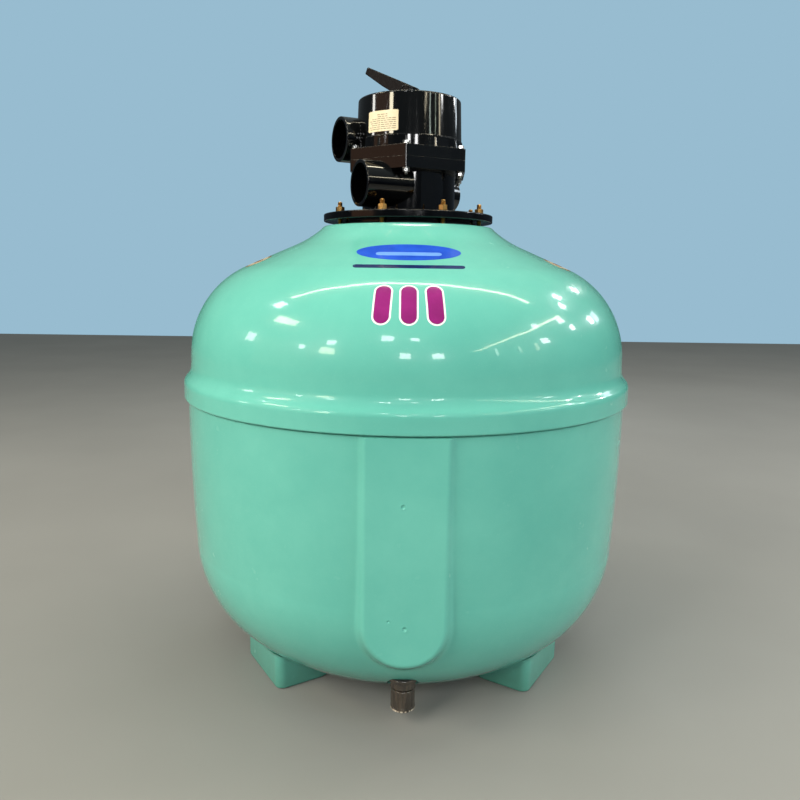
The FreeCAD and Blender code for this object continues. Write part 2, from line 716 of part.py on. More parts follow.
# ------------------------------------------------------------- neck joint

def make_neck_joint():
    """Backing ring, studs, gasket, washers and nuts that hold the plate."""
    ring("shell_bond", "tongue_radius", "tongue_radius + bond_gap", "bond_low", "tongue_top")
    backing = ring("neck_backing_ring", "ring_inner", "ring_outer",
                   "neck_top - neck_thick - ring_thick", "neck_top - neck_thick")
    item = sketch_in(backing, "stud_hole", "XY_Plane", "stud_low")
    circle(item, "stud_circle * cos(stud_first)", "stud_circle * sin(stud_first)", "stud_radius")
    hole = cut_from(backing, item, "stud_top - stud_low", forward=True)
    all_round(backing, [hole], "stud_count")
    ring("neck_gasket", "gasket_inner", "gasket_outer", "neck_top", "gasket_top")
    scattered("neck_studs", "stud_count", "stud_first", "stud_circle", "stud_low",
              [("round", "stud_radius", None, "stud_top - stud_low")])
    scattered("neck_washers", "stud_count", "stud_first", "stud_circle", "plate_top",
              [("round", "washer_radius", "stud_bore", "washer_thick")])
    scattered("neck_nuts", "stud_count", "stud_first", "stud_circle", "plate_top + washer_thick",
              [("hex", "nut_half", "stud_radius", "nut_tall")])


def scattered(label, count, first_angle, circle_radius, low, steps):
    """Identical fasteners round the Z axis: a stack of round or six-sided
    steps, each with an outer size, a bore or none, and a height."""
    body = part(label)
    pads = []
    height = low
    for number, (kind, outer, bore, tall) in enumerate(steps):
        item = sketch_in(body, "step%d" % number, "XY_Plane", height)
        if kind == "hex":
            hexagon(item, circle_radius, outer)
        else:
            circle(item, circle_radius, "0", outer)
        if bore:
            circle(item, circle_radius, "0", bore)
        pads.append(raise_from(body, item, tall))
        height = "%s + %s" % (height, tall)
    all_round(body, pads, count)
    spin(body, first_angle)
    return body


# ------------------------------------------------------------------ valve

def make_plate():
    """Round plate that closes the neck and carries the valve."""
    body = part("valve_plate")
    turn(body, "section", [
        ("spigot_radius", "gasket_top"),
        ("step_outer", "gasket_top"),
        ("step_outer", "plate_low"),
        ("plate_radius - plate_edge", "plate_low"),
        ("plate_radius", "plate_low + plate_edge", "plate_edge", 1),
        ("plate_radius", "plate_top - plate_edge"),
        ("plate_radius - plate_edge", "plate_top", "plate_edge", 1),
        ("spigot_radius", "plate_top"),
    ])
    item = sketch_in(body, "stud_hole", "XY_Plane", "plate_top + cut_past")
    circle(item, "stud_circle * cos(stud_first)", "stud_circle * sin(stud_first)", "stud_bore")
    hole = cut_from(body, item, "plate_top - plate_low + 2 * cut_past")
    all_round(body, [hole], "stud_count")


def flange_half(body, low, high):
    """One half of the hexagonal flange, with rounded upright corners."""
    item = sketch_in(body, "flange", "XY_Plane", low)
    setback = "flange_round / sqrt(3)"
    corners = []
    for number in range(HEX_CORNERS):
        angle = FULL_TURN / HEX_CORNERS * number
        for side in (-1, 1):
            along = angle + side * HEX_INSIDE
            across = "flange_corner * cos(%d) + %s * cos(%d)" % (angle, setback, along)
            up = "flange_corner * sin(%d) + %s * sin(%d)" % (angle, setback, along)
            if side == -1:
                corners.append((across, up))
            else:
                corners.append((across, up, "flange_round", 1))
    outline(item, corners)
    raise_from(body, item, "%s - %s" % (high, low))


def port_plane(body, name, port):
    """A sketch across the mouth of a port, facing away from the valve."""
    return sketch_in(body, name, "YZ_Plane", port["reach"], port["swing"])


def port_on(body, port):
    """The outer barrel of a port, run back into the body."""
    item = port_plane(body, port["name"], port)
    circle(item, port["aside"], port["height"], "port_radius")
    raise_from(body, item, "%s - port_root" % port["reach"], backward=True)


def port_bore(body, port):
    """The stepped bore of a port: pipe socket, then the throat."""
    item = port_plane(body, port["name"] + "_socket", port)
    circle(item, port["aside"], port["height"], "port_bore")
    cut_from(body, item, port["depth"])
    item = port_plane(body, port["name"] + "_throat", port)
    circle(item, port["aside"], port["height"], "port_throat")
    cut_from(body, item, "%s - (%s)" % (port["reach"], port["inward"]))


RETURN_PORT = {"name": "return_port", "swing": "180", "aside": "port_aside", "height": "lower_port",
               "reach": "port_reach", "depth": "port_depth", "inward": "return_end"}
WASTE_PORT = {"name": "waste_port", "swing": "waste_swing", "aside": "0", "height": "lower_port",
              "reach": "waste_reach", "depth": "waste_depth", "inward": "body_bore - cut_past"}
PUMP_PORT = {"name": "pump_port", "swing": "180", "aside": "-port_aside", "height": "upper_port",
             "reach": "port_reach", "depth": "port_depth", "inward": "pump_end"}


def flange_bolt_holes(body, low, depth):
    item = sketch_in(body, "bolt_hole", "XY_Plane", low)
    circle(item, "bolt_circle", "0", "bolt_bore")
    hole = cut_from(body, item, depth, forward=True)
    all_round(body, [hole], "bolt_count")


def mouth_edge(port):
    """A test for the outer circle of a port's mouth."""
    def wanted(edge):
        curve = edge.Curve
        return (isinstance(curve, Part.Circle) and abs(curve.Radius - size_of("port_radius")) < MATCH
                and math.hypot(curve.Center.x, curve.Center.y) > size_of(port["reach"]) - MATCH)
    return wanted


def make_valve_body():
    """Lower valve body: spigot, chamber, two ports and the port deck."""
    body = part("valve_body")
    turn(body, "block", [
        ("0", "spigot_low"),
        ("spigot_radius", "spigot_low"),
        ("spigot_radius", "plate_top"),
        ("body_radius", "plate_top"),
        ("body_radius", "flange_split"),
        ("0", "flange_split"),
    ])
    flange_half(body, "flange_low", "flange_split")
    for port in (RETURN_PORT, WASTE_PORT):
        port_on(body, port)
        rounded(body, "port_edge", mouth_edge(port))
    turn_away(body, "spigot_bore", [
        ("0", "spigot_low - cut_past"),
        ("spigot_bore", "spigot_low - cut_past"),
        ("spigot_bore", "body_floor"),
        ("body_bore", "body_floor"),
        ("body_bore", "flange_split + cut_past"),
        ("0", "flange_split + cut_past"),
    ])
    port_bore(body, RETURN_PORT)
    port_bore(body, WASTE_PORT)
    turn(body, "deck", [
        ("throat_bore", "tube_end"),
        ("tube_bore", "tube_end"),
        ("tube_bore", "tube_low"),
        ("tube_outer", "tube_low"),
        ("tube_outer", "deck_low"),
        ("body_bore + bite", "deck_low"),
        ("body_bore + bite", "deck_top"),
        ("throat_bore", "deck_top"),
    ])
    item = sketch_in(body, "window", "XY_Plane", "deck_top + cut_past")
    outline(item, window_corners("window_inner", "window_outer", "window_half"))
    window = cut_from(body, item, "deck_top - deck_low + 2 * cut_past")
    all_round(body, [window], "window_count")
    turn_away(body, "seal_groove", [
        ("seal_circle - seal_radius - seal_play", "flange_split - 2 * seal_radius"),
        ("seal_circle + seal_radius + seal_play", "flange_split - 2 * seal_radius"),
        ("seal_circle + seal_radius + seal_play", "flange_split + cut_past"),
        ("seal_circle - seal_radius - seal_play", "flange_split + cut_past"),
    ])
    flange_bolt_holes(body, "flange_low - cut_past", "flange_split - flange_low + 2 * cut_past")
    spin(body, "valve_turn")


def window_corners(inner, outer, half):
    """A sector between two radii, centred on the X axis."""
    return [
        ("%s * cos(%s)" % (outer, half), "-(%s) * sin(%s)" % (outer, half)),
        ("%s * cos(%s)" % (outer, half), "%s * sin(%s)" % (outer, half), outer, 1),
        ("%s * cos(%s)" % (inner, half), "%s * sin(%s)" % (inner, half)),
        ("%s * cos(%s)" % (inner, half), "-(%s) * sin(%s)" % (inner, half), inner, -1),
    ]


def make_valve_cover():
    """Upper valve housing: drum, upper port, gussets and the shaft's hub."""
    body = part("valve_cover")
    turn(body, "block", [
        ("0", "flange_split"),
        ("drum_base", "flange_split"),
        ("drum_base", "band_top"),
        ("drum_low", "drum_start"),
        ("drum_high", "drum_top - drum_edge"),
        ("drum_high - drum_edge", "drum_top", "drum_edge", 1),
        ("hub_radius", "drum_top"),
        ("hub_radius", "hub_top"),
        ("0", "hub_top"),
    ])
    flange_half(body, "flange_split", "flange_high")
    item = sketch_in(body, "gusset", "XZ_Plane", "-rib_half")
    outline(item, [
        ("drum_base - bite", "flange_high - bite"),
        ("rib_out", "flange_high - bite"),
        ("drum_base", "rib_top"),
        ("drum_base - bite", "rib_top"),
    ])
    gusset = raise_from(body, item, "2 * rib_half")
    all_round(body, [gusset], "rib_count")
    port_on(body, PUMP_PORT)
    rounded(body, "port_edge", mouth_edge(PUMP_PORT))
    turn_away(body, "chamber", [
        ("0", "flange_split - cut_past"),
        ("drum_bore", "flange_split - cut_past"),
        ("drum_bore", "drum_roof"),
        ("0", "drum_roof"),
    ])
    turn_away(body, "shaft_bore", [
        ("0", "drum_roof - bite"),
        ("shaft_bore", "drum_roof - bite"),
        ("shaft_bore", "hub_top + cut_past"),
        ("0", "hub_top + cut_past"),
    ])
    port_bore(body, PUMP_PORT)
    flange_bolt_holes(body, "flange_split - cut_past", "flange_high - flange_split + 2 * cut_past")
    spin(body, "valve_turn")


def make_valve_fasteners():
    """O-ring between the halves, and the six bolts that clamp them."""
    o_ring("body_o_ring", "seal_circle", "seal_radius", "flange_split - seal_radius")
    scattered("flange_bolts", "bolt_count", "valve_turn", "bolt_circle", "bolt_low", [
        ("round", "bolt_radius", None, "flange_high + bolt_washer_thick - bolt_low"),
        ("hex", "bolt_head", None, "bolt_head_tall"),
    ])
    scattered("flange_top_washers", "bolt_count", "valve_turn", "bolt_circle", "flange_high",
              [("round", "bolt_washer", "bolt_bore", "bolt_washer_thick")])
    scattered("flange_low_washers", "bolt_count", "valve_turn", "bolt_circle",
              "flange_low - bolt_washer_thick", [("round", "bolt_washer", "bolt_bore", "bolt_washer_thick")])
    scattered("flange_nuts", "bolt_count", "valve_turn", "bolt_circle",
              "flange_low - bolt_washer_thick - bolt_nut_tall",
              [("hex", "bolt_head", "bolt_radius", "bolt_nut_tall")])


def make_rotor():
    """Rotor with its foot, cone and inner webs, and the gasket it sits on."""
    gasket = ring("spider_gasket", "spider_bore", "spider_radius", "deck_top", "spider_top")
    item = sketch_in(gasket, "window", "XY_Plane", "spider_top + bite")
    outline(item, window_corners("window_inner", "window_outer", "window_half"))
    window = cut_from(gasket, item, "spider_top - deck_top + 2 * bite")
    all_round(gasket, [window], "window_count")
    spin(gasket, "valve_turn")

    body = part("rotor")
    turn(body, "block", [
        ("0", "spider_top"),
        ("rotor_radius", "spider_top"),
        ("rotor_radius", "rotor_rim_top"),
        ("rotor_cone", "rotor_shoulder"),
        ("rotor_neck", "rotor_shoulder"),
        ("rotor_neck", "rotor_top"),
        ("0", "rotor_top"),
    ])
    turn_away(body, "hollow", [
        ("0", "spider_top - cut_past"),
        ("rotor_inner", "spider_top - cut_past"),
        ("rotor_inner", "hollow_step"),
        ("hollow_top", "rotor_ceiling"),
        ("0", "rotor_ceiling"),
    ])
    turn_away(body, "shaft_seat", [
        ("0", "shaft_low"),
        ("shaft_radius", "shaft_low"),
        ("shaft_radius", "rotor_top + cut_past"),
        ("0", "rotor_top + cut_past"),
    ])
    item = sketch_in(body, "web", "XZ_Plane", "-rotor_web")
    outline(item, [
        ("0", "spider_top"),
        ("rotor_inner + bite", "spider_top"),
        ("rotor_inner + bite", "hollow_step"),
        ("hollow_top + bite", "rotor_ceiling"),
        ("0", "rotor_ceiling"),
    ])
    web = raise_from(body, item, "2 * rotor_web")
    all_round(body, [web], "web_count")
    spin(body, "handle_turn")


def make_shaft():
    """Shaft with its two O-rings, thrust washer, spring and wear plate."""
    body = part("rotor_shaft")
    turn(body, "rod", [
        ("0", "shaft_low"),
        ("shaft_radius", "shaft_low"),
        ("shaft_radius", "shaft_top - shaft_bevel"),
        ("shaft_radius - shaft_bevel", "shaft_top"),
        ("0", "shaft_top"),
    ])
    groove_floor = "shaft_seal_circle - shaft_seal_radius"
    for name, height in (("low_groove", "seal_low"), ("high_groove", "seal_high")):
        turn_away(body, name, [
            (groove_floor, "%s - shaft_seal_radius - groove_play" % height),
            ("shaft_radius + cut_past", "%s - shaft_seal_radius - groove_play" % height),
            ("shaft_radius + cut_past", "%s + shaft_seal_radius + groove_play" % height),
            (groove_floor, "%s + shaft_seal_radius + groove_play" % height),
        ])
    item = sketch_in(body, "pin_bore", "XZ_Plane", "-shaft_radius - cut_past")
    circle(item, "0", "pin_height", "pin_radius")
    cut_from(body, item, "2 * shaft_radius + 2 * cut_past", forward=True)
    spin(body, "handle_turn")
    o_ring("shaft_o_ring_low", "shaft_seal_circle", "shaft_seal_radius", "seal_low")
    o_ring("shaft_o_ring_high", "shaft_seal_circle", "shaft_seal_radius", "seal_high")
    ring("thrust_washer", "thrust_bore", "thrust_radius", "rotor_top", "thrust_top")
    wear = ring("wear_plate", "thrust_bore", "wear_radius", "hub_top", "wear_top")
    rounded(wear, "wear_edge", ring_edge("wear_radius", "wear_top"))


def make_spring():
    """Compression spring round the shaft, between thrust washer and roof."""
    low = size_of("thrust_top + spring_wire + spring_play")
    high = size_of("drum_roof - spring_wire - spring_play")
    helix = doc.addObject("Part::Helix", "spring_path")
    helix.Height = high - low
    helix.Pitch = (high - low) / size_of("spring_turns")
    helix.setExpression("Radius", bound("spring_radius"))
    helix.Placement = FreeCAD.Placement(VECTOR(0, 0, low), FreeCAD.Rotation())
    wire = doc.addObject("Part::Circle", "spring_section")
    wire.setExpression("Radius", bound("spring_wire"))
    wire.Placement = FreeCAD.Placement(VECTOR(size_of("spring_radius"), 0, low),
                                       FreeCAD.Rotation(VECTOR(1, 0, 0), 90))
    coil = doc.addObject("Part::Sweep", "valve_spring_sweep")
    coil.Sections = [wire]
    coil.Spine = (helix, ["Edge1"])
    coil.Solid = True
    coil.Frenet = True
    doc.recompute()
    as_part(coil, "valve_spring")


def make_handle():
    """Lever with a slotted hub, hinged on a cross pin through the shaft."""
    body = part("valve_handle")
    item = sketch_in(body, "side", "XZ_Plane", "-handle_half")
    outline(item, [
        ("0", "-handle_hub", "handle_hub", 1),
        ("handle_hub * sin(handle_leave)", "-handle_hub * cos(handle_leave)", "handle_hub", 1),
        ("handle_knee", "-handle_knee_depth"),
        ("handle_long - tip_under", "handle_hub - handle_tip"),
        ("handle_long", "handle_hub - handle_tip + tip_under", "tip_under", 1),
        ("handle_long", "handle_hub - tip_over"),
        ("handle_long - tip_over", "handle_hub", "tip_over", 1),
        ("0", "handle_hub"),
        ("-handle_hub", "0", "handle_hub", 1),
    ])
    raise_from(body, item, "2 * handle_half")
    item = sketch_in(body, "slot", "XY_Plane", "handle_hub + bite")
    outline(item, [
        ("-handle_hub - cut_past", "-slot_half"),
        ("slot_back", "-slot_half"),
        ("slot_back", "slot_half"),
        ("-handle_hub - cut_past", "slot_half"),
    ])
    cut_from(body, item, "2 * handle_hub + 2 * bite")
    item = sketch_in(body, "pin_bore", "XZ_Plane", "-handle_half - cut_past")
    circle(item, "0", "0", "pin_bore")
    cut_from(body, item, "2 * handle_half + 2 * cut_past", forward=True)
    raised = FreeCAD.Rotation(VECTOR(0, 1, 0), -size_of("handle_rise"))
    turned = FreeCAD.Rotation(UP, size_of("handle_turn"))
    body.Placement = FreeCAD.Placement(VECTOR(0, 0, size_of("pin_height")), turned.multiply(raised))

    pin = part("handle_pin")
    item = sketch_in(pin, "section", "XZ_Plane", "-pin_half")
    circle(item, "0", "0", "pin_radius")
    raise_from(pin, item, "2 * pin_half")
    pin.Placement = FreeCAD.Placement(VECTOR(0, 0, size_of("pin_height")), turned)


def make_label():
    """Blank data label on the front left of the drum."""
    body = part("data_label")
    lean = "(drum_low - drum_high) / (drum_top - band_top)"
    low_radius = "drum_low - %s * (label_low - band_top)" % lean
    high_radius = "drum_low - %s * (label_high - band_top)" % lean
    item = sketch_in(body, "section", "XZ_Plane")
    outline(item, [
        (low_radius + " + label_gap", "label_low"),
        (low_radius + " + label_gap + label_thick", "label_low"),
        (high_radius + " + label_gap + label_thick", "label_high"),
        (high_radius + " + label_gap", "label_high"),
    ])
    feature = body.newObject("PartDesign::Revolution", "data_label_turned")
    feature.Profile = item
    feature.ReferenceAxis = (item, ["V_Axis"])
    feature.setExpression("Angle", bound("label_far - label_near"))
    doc.recompute()
    start = -90 - size_of("label_far")
    body.Placement = FreeCAD.Placement(VECTOR(0, 0, 0), FreeCAD.Rotation(UP, start))


# -------------------------------------------------------- inside the tank

def make_inner_pipes():
    """Standpipe, its seal, top diffuser, lateral hub and eight laterals."""
    ring("standpipe", "pipe_bore", "pipe_radius", "pipe_low", "seal_pipe_low")
    ring("standpipe_seal", "pipe_bore", "tube_bore", "seal_pipe_low", "tube_end")
    body = part("top_diffuser")
    turn(body, "section", [
        ("basket_fit", "basket_low"),
        ("basket_radius", "basket_low"),
        ("basket_radius", "basket_step"),
        ("basket_collar", "basket_step"),
        ("basket_collar", "basket_top"),
        ("spigot_radius", "basket_top"),
        ("spigot_radius", "spigot_low"),
        ("basket_bore", "spigot_low"),
        ("basket_bore", "basket_floor"),
        ("basket_fit", "basket_floor"),
    ])
    item = sketch_in(body, "slot", "YZ_Plane", "basket_bore - cut_past")
    outline(item, [
        ("-slot_wide", "slot_low"),
        ("slot_wide", "slot_low"),
        ("slot_wide", "slot_high"),
        ("-slot_wide", "slot_high"),
    ])
    slot = cut_from(body, item, "basket_radius - basket_bore + 2 * cut_past", forward=True)
    all_round(body, [slot], "slot_count")

    hub = part("lateral_hub")
    turn(hub, "block", [
        ("0", "bottom_height + wall"),
        ("hub_outer", "bottom_height + wall"),
        ("hub_outer", "hub_high"),
        ("pipe_radius", "hub_high"),
        ("pipe_radius", "pipe_low"),
        ("0", "pipe_low"),
    ])
    item = sketch_in(hub, "socket", "YZ_Plane", "lateral_start - 2 * bite")
    circle(item, "0", "lateral_height", "lateral_radius")
    socket = cut_from(hub, item, "hub_outer", forward=True)
    item = sketch_in(hub, "way", "YZ_Plane", "pipe_bore - cut_past")
    circle(item, "0", "lateral_height", "lateral_bore")
    way = cut_from(hub, item, "hub_outer", forward=True)
    all_round(hub, [socket, way], "lateral_count")
    spin(hub, "lateral_first")
    for number in range(int(size_of("lateral_count"))):
        make_lateral(number)


def make_lateral(number):
    """A slotted collector tube, closed at its outer end."""
    body = part("lateral_%d" % (number + 1))
    item = sketch_in(body, "tube", "YZ_Plane", "lateral_start")
    circle(item, "0", "lateral_height", "lateral_radius")
    raise_from(body, item, "lateral_end - lateral_start")
    item = sketch_in(body, "bore", "YZ_Plane", "lateral_start - bite")
    circle(item, "0", "lateral_height", "lateral_bore")
    cut_from(body, item, "lateral_end - lateral_start - lateral_cap + bite", forward=True)
    item = sketch_in(body, "slot", "XZ_Plane", "-lateral_radius - bite")
    outline(item, [
        ("lateral_slot_start", "lateral_height - lateral_radius - bite"),
        ("lateral_slot_start + lateral_slot_wide", "lateral_height - lateral_radius - bite"),
        ("lateral_slot_start + lateral_slot_wide", "lateral_slot_top"),
        ("lateral_slot_start", "lateral_slot_top"),
    ])
    slot = cut_from(body, item, "2 * lateral_radius + 2 * bite", forward=True)
    row = body.newObject("PartDesign::LinearPattern", body.Name + "_slots")
    row.Originals = [slot]
    row.Direction = (origin_feature(body, "X_Axis"), [""])
    row.setExpression("Length", bound("(lateral_slots - 1) * lateral_slot_pitch"))
    row.setExpression("Occurrences", bound("lateral_slots"))
    body.Tip = row
    doc.recompute()
    direction = size_of("lateral_first + 360 / lateral_count * %d" % number)
    body.Placement = FreeCAD.Placement(VECTOR(0, 0, 0), FreeCAD.Rotation(UP, direction))


# ------------------------------------------------------------------ drain

def make_drain():
    """Collar, nipple, gasket, lock nut and strainer of the drain fitting."""
    collar = part("drain_collar")
    item = sketch_in(collar, "hexagon", "XY_Plane", "hex_low")
    hexagon(item, "0", "hex_half")
    circle(item, "0", "0", "nipple_radius")
    raise_from(collar, item, "collar_low - hex_low")
    turn(collar, "rim", [
        ("nipple_radius", "collar_low"),
        ("collar_radius", "collar_low"),
        ("collar_radius", "drain_gasket_low"),
        ("nipple_radius", "drain_gasket_low"),
    ])
    gasket = ring("drain_gasket", "nipple_radius", "collar_radius", "drain_gasket_low", "recess_top")
    nipple = ring("drain_nipple", "nipple_bore", "nipple_radius", "nipple_low", "nipple_top")
    nut = part("drain_lock_nut")
    item = sketch_in(nut, "hexagon", "XY_Plane", "boss_top")
    hexagon(item, "0", "locknut_half")
    circle(item, "0", "0", "nipple_radius")
    raise_from(nut, item, "locknut_top - boss_top")
    strainer = part("drain_strainer")
    turn(strainer, "section", [
        ("nipple_radius", "locknut_top"),
        ("strainer_radius", "locknut_top"),
        ("strainer_radius", "strainer_top"),
        ("0", "strainer_top"),
        ("0", "strainer_roof"),
        ("nipple_radius", "strainer_roof"),
    ])
    item = sketch_in(strainer, "slot", "YZ_Plane", "nipple_radius - bite")
    outline(item, [
        ("-strainer_slot_half", "strainer_slot_low"),
        ("strainer_slot_half", "strainer_slot_low"),
        ("strainer_slot_half", "strainer_slot_top"),
        ("-strainer_slot_half", "strainer_slot_top"),
    ])
    slot = cut_from(strainer, item, "strainer_radius - nipple_radius + 2 * bite", forward=True)
    all_round(strainer, [slot], "strainer_slots")
    for item in (collar, gasket, nipple, nut, strainer):
        shift(item, "0", "-drain_out")


def make_drain_cap():
    """Screw cap of the drain with its grip grooves, and its seal."""
    body = part("drain_cap")
    turn(body, "block", [
        ("0", "cap_low"),
        ("rim_radius", "cap_low"),
        ("rim_radius", "rim_top"),
        ("cap_radius", "rim_top + cap_bevel"),
        ("cap_radius", "cap_top - cap_bevel"),
        ("cap_radius - cap_bevel", "cap_top"),
        ("cap_bore", "cap_top"),
        ("cap_bore", "cap_seal_low"),
        ("0", "cap_seal_low"),
    ])
    item = sketch_in(body, "grip", "XY_Plane", "rim_top + cap_bevel")
    circle(item, "grip_circle", "0", "grip_radius")
    grip = cut_from(body, item, "grip_top - rim_top - cap_bevel", forward=True)
    all_round(body, [grip], "grip_count")
    seal = ring("drain_cap_seal", "cap_seal_bore", "cap_seal_radius", "cap_seal_low", "nipple_low")
    for item in (body, seal):
        shift(item, "0", "-drain_out")


# ------------------------------------------------------------------ build

make_feet(make_lower_shell())
make_upper_shell()
make_neck_joint()
make_plate()
make_valve_body()
make_valve_cover()
make_valve_fasteners()
make_rotor()
make_shaft()
make_spring()
make_handle()
make_label()
make_inner_pipes()
make_drain()
make_drain_cap()
doc.recompute()

for item in doc.Objects:
    if "Invalid" in item.State or "Error" in item.State:
        raise RuntimeError("%s did not build: %s" % (item.Name, item.State))

os.makedirs("parts", exist_ok=True)
for item in PARTS:
    shape = item.Shape
    if shape.isNull() or not shape.isValid() or not shape.Solids:
        raise RuntimeError(item.Label + " has no sound shape")
    shape.exportStep("parts/%s.step" % item.Label)
    print("%-22s solids %2d  volume %12.1f  z %7.1f to %7.1f" % (
        item.Label, len(shape.Solids), shape.Volume, shape.BoundBox.ZMin, shape.BoundBox.ZMax))
print(len(PARTS), "parts")
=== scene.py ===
import json
import math

import bmesh
import bpy
from mathutils import Matrix, Vector, noise


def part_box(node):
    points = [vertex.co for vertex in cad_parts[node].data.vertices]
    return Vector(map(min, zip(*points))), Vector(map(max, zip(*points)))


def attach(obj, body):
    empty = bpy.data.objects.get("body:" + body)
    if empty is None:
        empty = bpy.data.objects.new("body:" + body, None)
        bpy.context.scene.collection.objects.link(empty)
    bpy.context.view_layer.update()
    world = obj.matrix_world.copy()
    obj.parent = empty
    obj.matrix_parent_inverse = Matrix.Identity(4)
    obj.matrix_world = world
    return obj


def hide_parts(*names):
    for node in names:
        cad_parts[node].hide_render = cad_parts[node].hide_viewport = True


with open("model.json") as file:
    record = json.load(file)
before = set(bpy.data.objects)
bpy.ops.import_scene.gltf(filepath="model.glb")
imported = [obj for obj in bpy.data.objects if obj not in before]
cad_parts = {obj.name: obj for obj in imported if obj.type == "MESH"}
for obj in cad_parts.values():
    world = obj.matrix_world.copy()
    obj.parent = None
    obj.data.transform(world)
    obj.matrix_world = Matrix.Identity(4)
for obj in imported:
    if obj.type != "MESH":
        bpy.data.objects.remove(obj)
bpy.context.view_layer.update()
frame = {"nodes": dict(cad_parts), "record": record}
NODES = frame["nodes"]

# A top-mount sand filter: a glossy gel-coated tank on four feet, with a black
# six-way valve bolted to its neck and a drain fitting low at the front.
# Metres, in the CAD frame: +Z up, the front towards -Y, +X to the right.

# ------------ sizes

SHARP = math.radians(32)   # edges that bend more than this stay sharp
SAME = 1e-6                # points nearer than this are one point
ROUND_POINTS = 96
OUTSIDE_STEP = 0.003

LOWER_LOW, LOWER_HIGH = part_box("lower_shell")
UPPER_LOW, UPPER_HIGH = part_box("upper_shell")
WALL = 0.008

# lower shell
BOTTOM = LOWER_LOW.z
SHELL_RADIUS = LOWER_HIGH.x
PANEL_FRONT = -LOWER_LOW.y
TONGUE_TOP = LOWER_HIGH.z
KNUCKLE = 0.191
SIDE_RADIUS = 0.3747
SIDE_START = 0.210
SIDE_FULL = 0.400
SIDE_BOW = 3.5
STEP_LOW = 0.457
STEP_HIGH = 0.4595
TONGUE_RADIUS = 0.3765
BOND = 0.0015
LOWER_INSIDE_STEP = 0.012
LOWER_WAVER = 0.0007

# its mesh: angles round the tank, and the least gaps between them and between heights
SWING_STEP = math.radians(1.2)
PANEL_SWING = math.radians(17)
PANEL_SWING_STEP = math.radians(0.25)
SWING_LEAST = math.radians(0.03)
HEIGHT_LEAST = 0.0003

# raised panel on the front
PANEL_HALF = 0.057
PANEL_CENTRE = 0.190
PANEL_LOW = PANEL_CENTRE - PANEL_HALF
PANEL_DRAFT = math.radians(32)
PANEL_EDGE = 0.0035
PANEL_BLEND = 0.005

# pits in the panel as (across, up, radius), and their profile and mesh in radii
PITS = ((-0.004, 0.365, 0.0030), (0.0, 0.191, 0.0034), (-0.022, 0.202, 0.0022))
PIT_REACH = 2.4
PIT_BOWL = 0.62
PIT_RIM = 0.10
PIT_RIM_PLACE = 1.15
PIT_STEPS = 4

# recess for the drain, which opens downwards
RECESS_LOW = -0.01
RECESS_TOP = 0.079
RECESS_RADIUS_LOW = 0.0235
RECESS_RADIUS_TOP = 0.0245
RECESS_STEP = 0.004

# upper shell
BELT_LOW = UPPER_LOW.z
BELT_RADIUS = UPPER_HIGH.x
NECK_TOP = UPPER_HIGH.z
BELT_LIP = 0.0025
BELT_FLAT = 0.484
BELT_CROWN = 0.014
BELT_FLARE = 0.030
BELT_OUT = 0.374
DOME_RADIUS = 0.3734
DOME_START = 0.5298
DOME_BEND = 0.1608
DOME_BOW = 0.900
DOME_SLOPE = math.radians(23.7)
NECK_SLOPE = math.radians(41.5)
NECK_BLEND = 0.190
NECK_EDGE = 0.004
NECK_BORE = 0.100
NECK_THICK = 0.014
LEDGE_LOW = 0.485
LEDGE_HIGH = 0.488
UPPER_SWING_STEP = math.radians(0.9)
UPPER_INSIDE_STEP = 0.010
UPPER_WAVER = 0.0008

# feet; the rows of a foot's mesh are shares of its height
FOOT_TURN = math.radians(32)
FOOT_ASIDE = 0.022
FOOT_OUTER = 0.294
FOOT_INNER = 0.200
FOOT_HALF = 0.070
FOOT_ROUND = 0.014
FOOT_EDGE = 0.0035
FOOT_SINK = 0.004
FILLET_TALL = 0.011
FILLET_OUT = 0.006
FILLET_POWER = 2.2
FOOT_SHARES = [0, 0.02, 0.05, 0.1] + [0.1 + 0.9 * index / 14 for index in range(1, 15)]

# hexagons, as shares of half their width or of their bore
HEX_POINTS = 72
CHAMFER_RISE = 0.107
CHAMFER_START = 0.97
CHAMFER_SPREAD = 0.185
CHAMFER_SHARES = (0, 0.3, 0.65, 1)
BORE_SINK = 0.12

# threads: rings and depth for one pitch, how sharp the crest is, and the bevel at an end
THREAD_POINTS = 28
THREAD_RINGS = 6
THREAD_DEPTH = 0.54
THREAD_CREST = 1.2
THREAD_BEVEL = 0.0008

# neck joint: studs with nuts
STUD_CIRCLE = 0.1265
STUD_FIRST = math.radians(25.5)
STUD_COUNT = 8
STUD_RADIUS = 0.004
STUD_PITCH = 0.00125
STUD_HOLE = 0.0045
STUD_HOLE_POINTS = 32
STUD_HOLE_STEP = 0.01
CUT_PAST = 0.004
NECK_NUT_HALF = 0.0065
NECK_NUT_BORE = 0.00385

# clamp flange of the valve: bolts with nuts
BOLT_CIRCLE = 0.1005
BOLT_COUNT = 6
BOLT_RADIUS = 0.003
BOLT_PITCH = 0.001
BOLT_SINK = 0.0005
BOLT_HEX_HALF = 0.005
FLANGE_NUT_BORE = 0.0029
VALVE_TURN = math.radians(27)

# drum of the valve
BAND_TOP = 0.8860
DRUM_TOP = 0.9535
DRUM_LOW = 0.0895
DRUM_HIGH = 0.0872
DRUM_STEP = math.radians(1.2)

# label on the drum: its angles, its two faces above the drum, its corners and margin
LABEL_NEAR = math.radians(12)
LABEL_FAR = math.radians(48.5)
LABEL_BACK = 0.00005
LABEL_FACE = 0.00040
LABEL_CORNER = 0.0015
LABEL_MARGIN = math.radians(2.6)

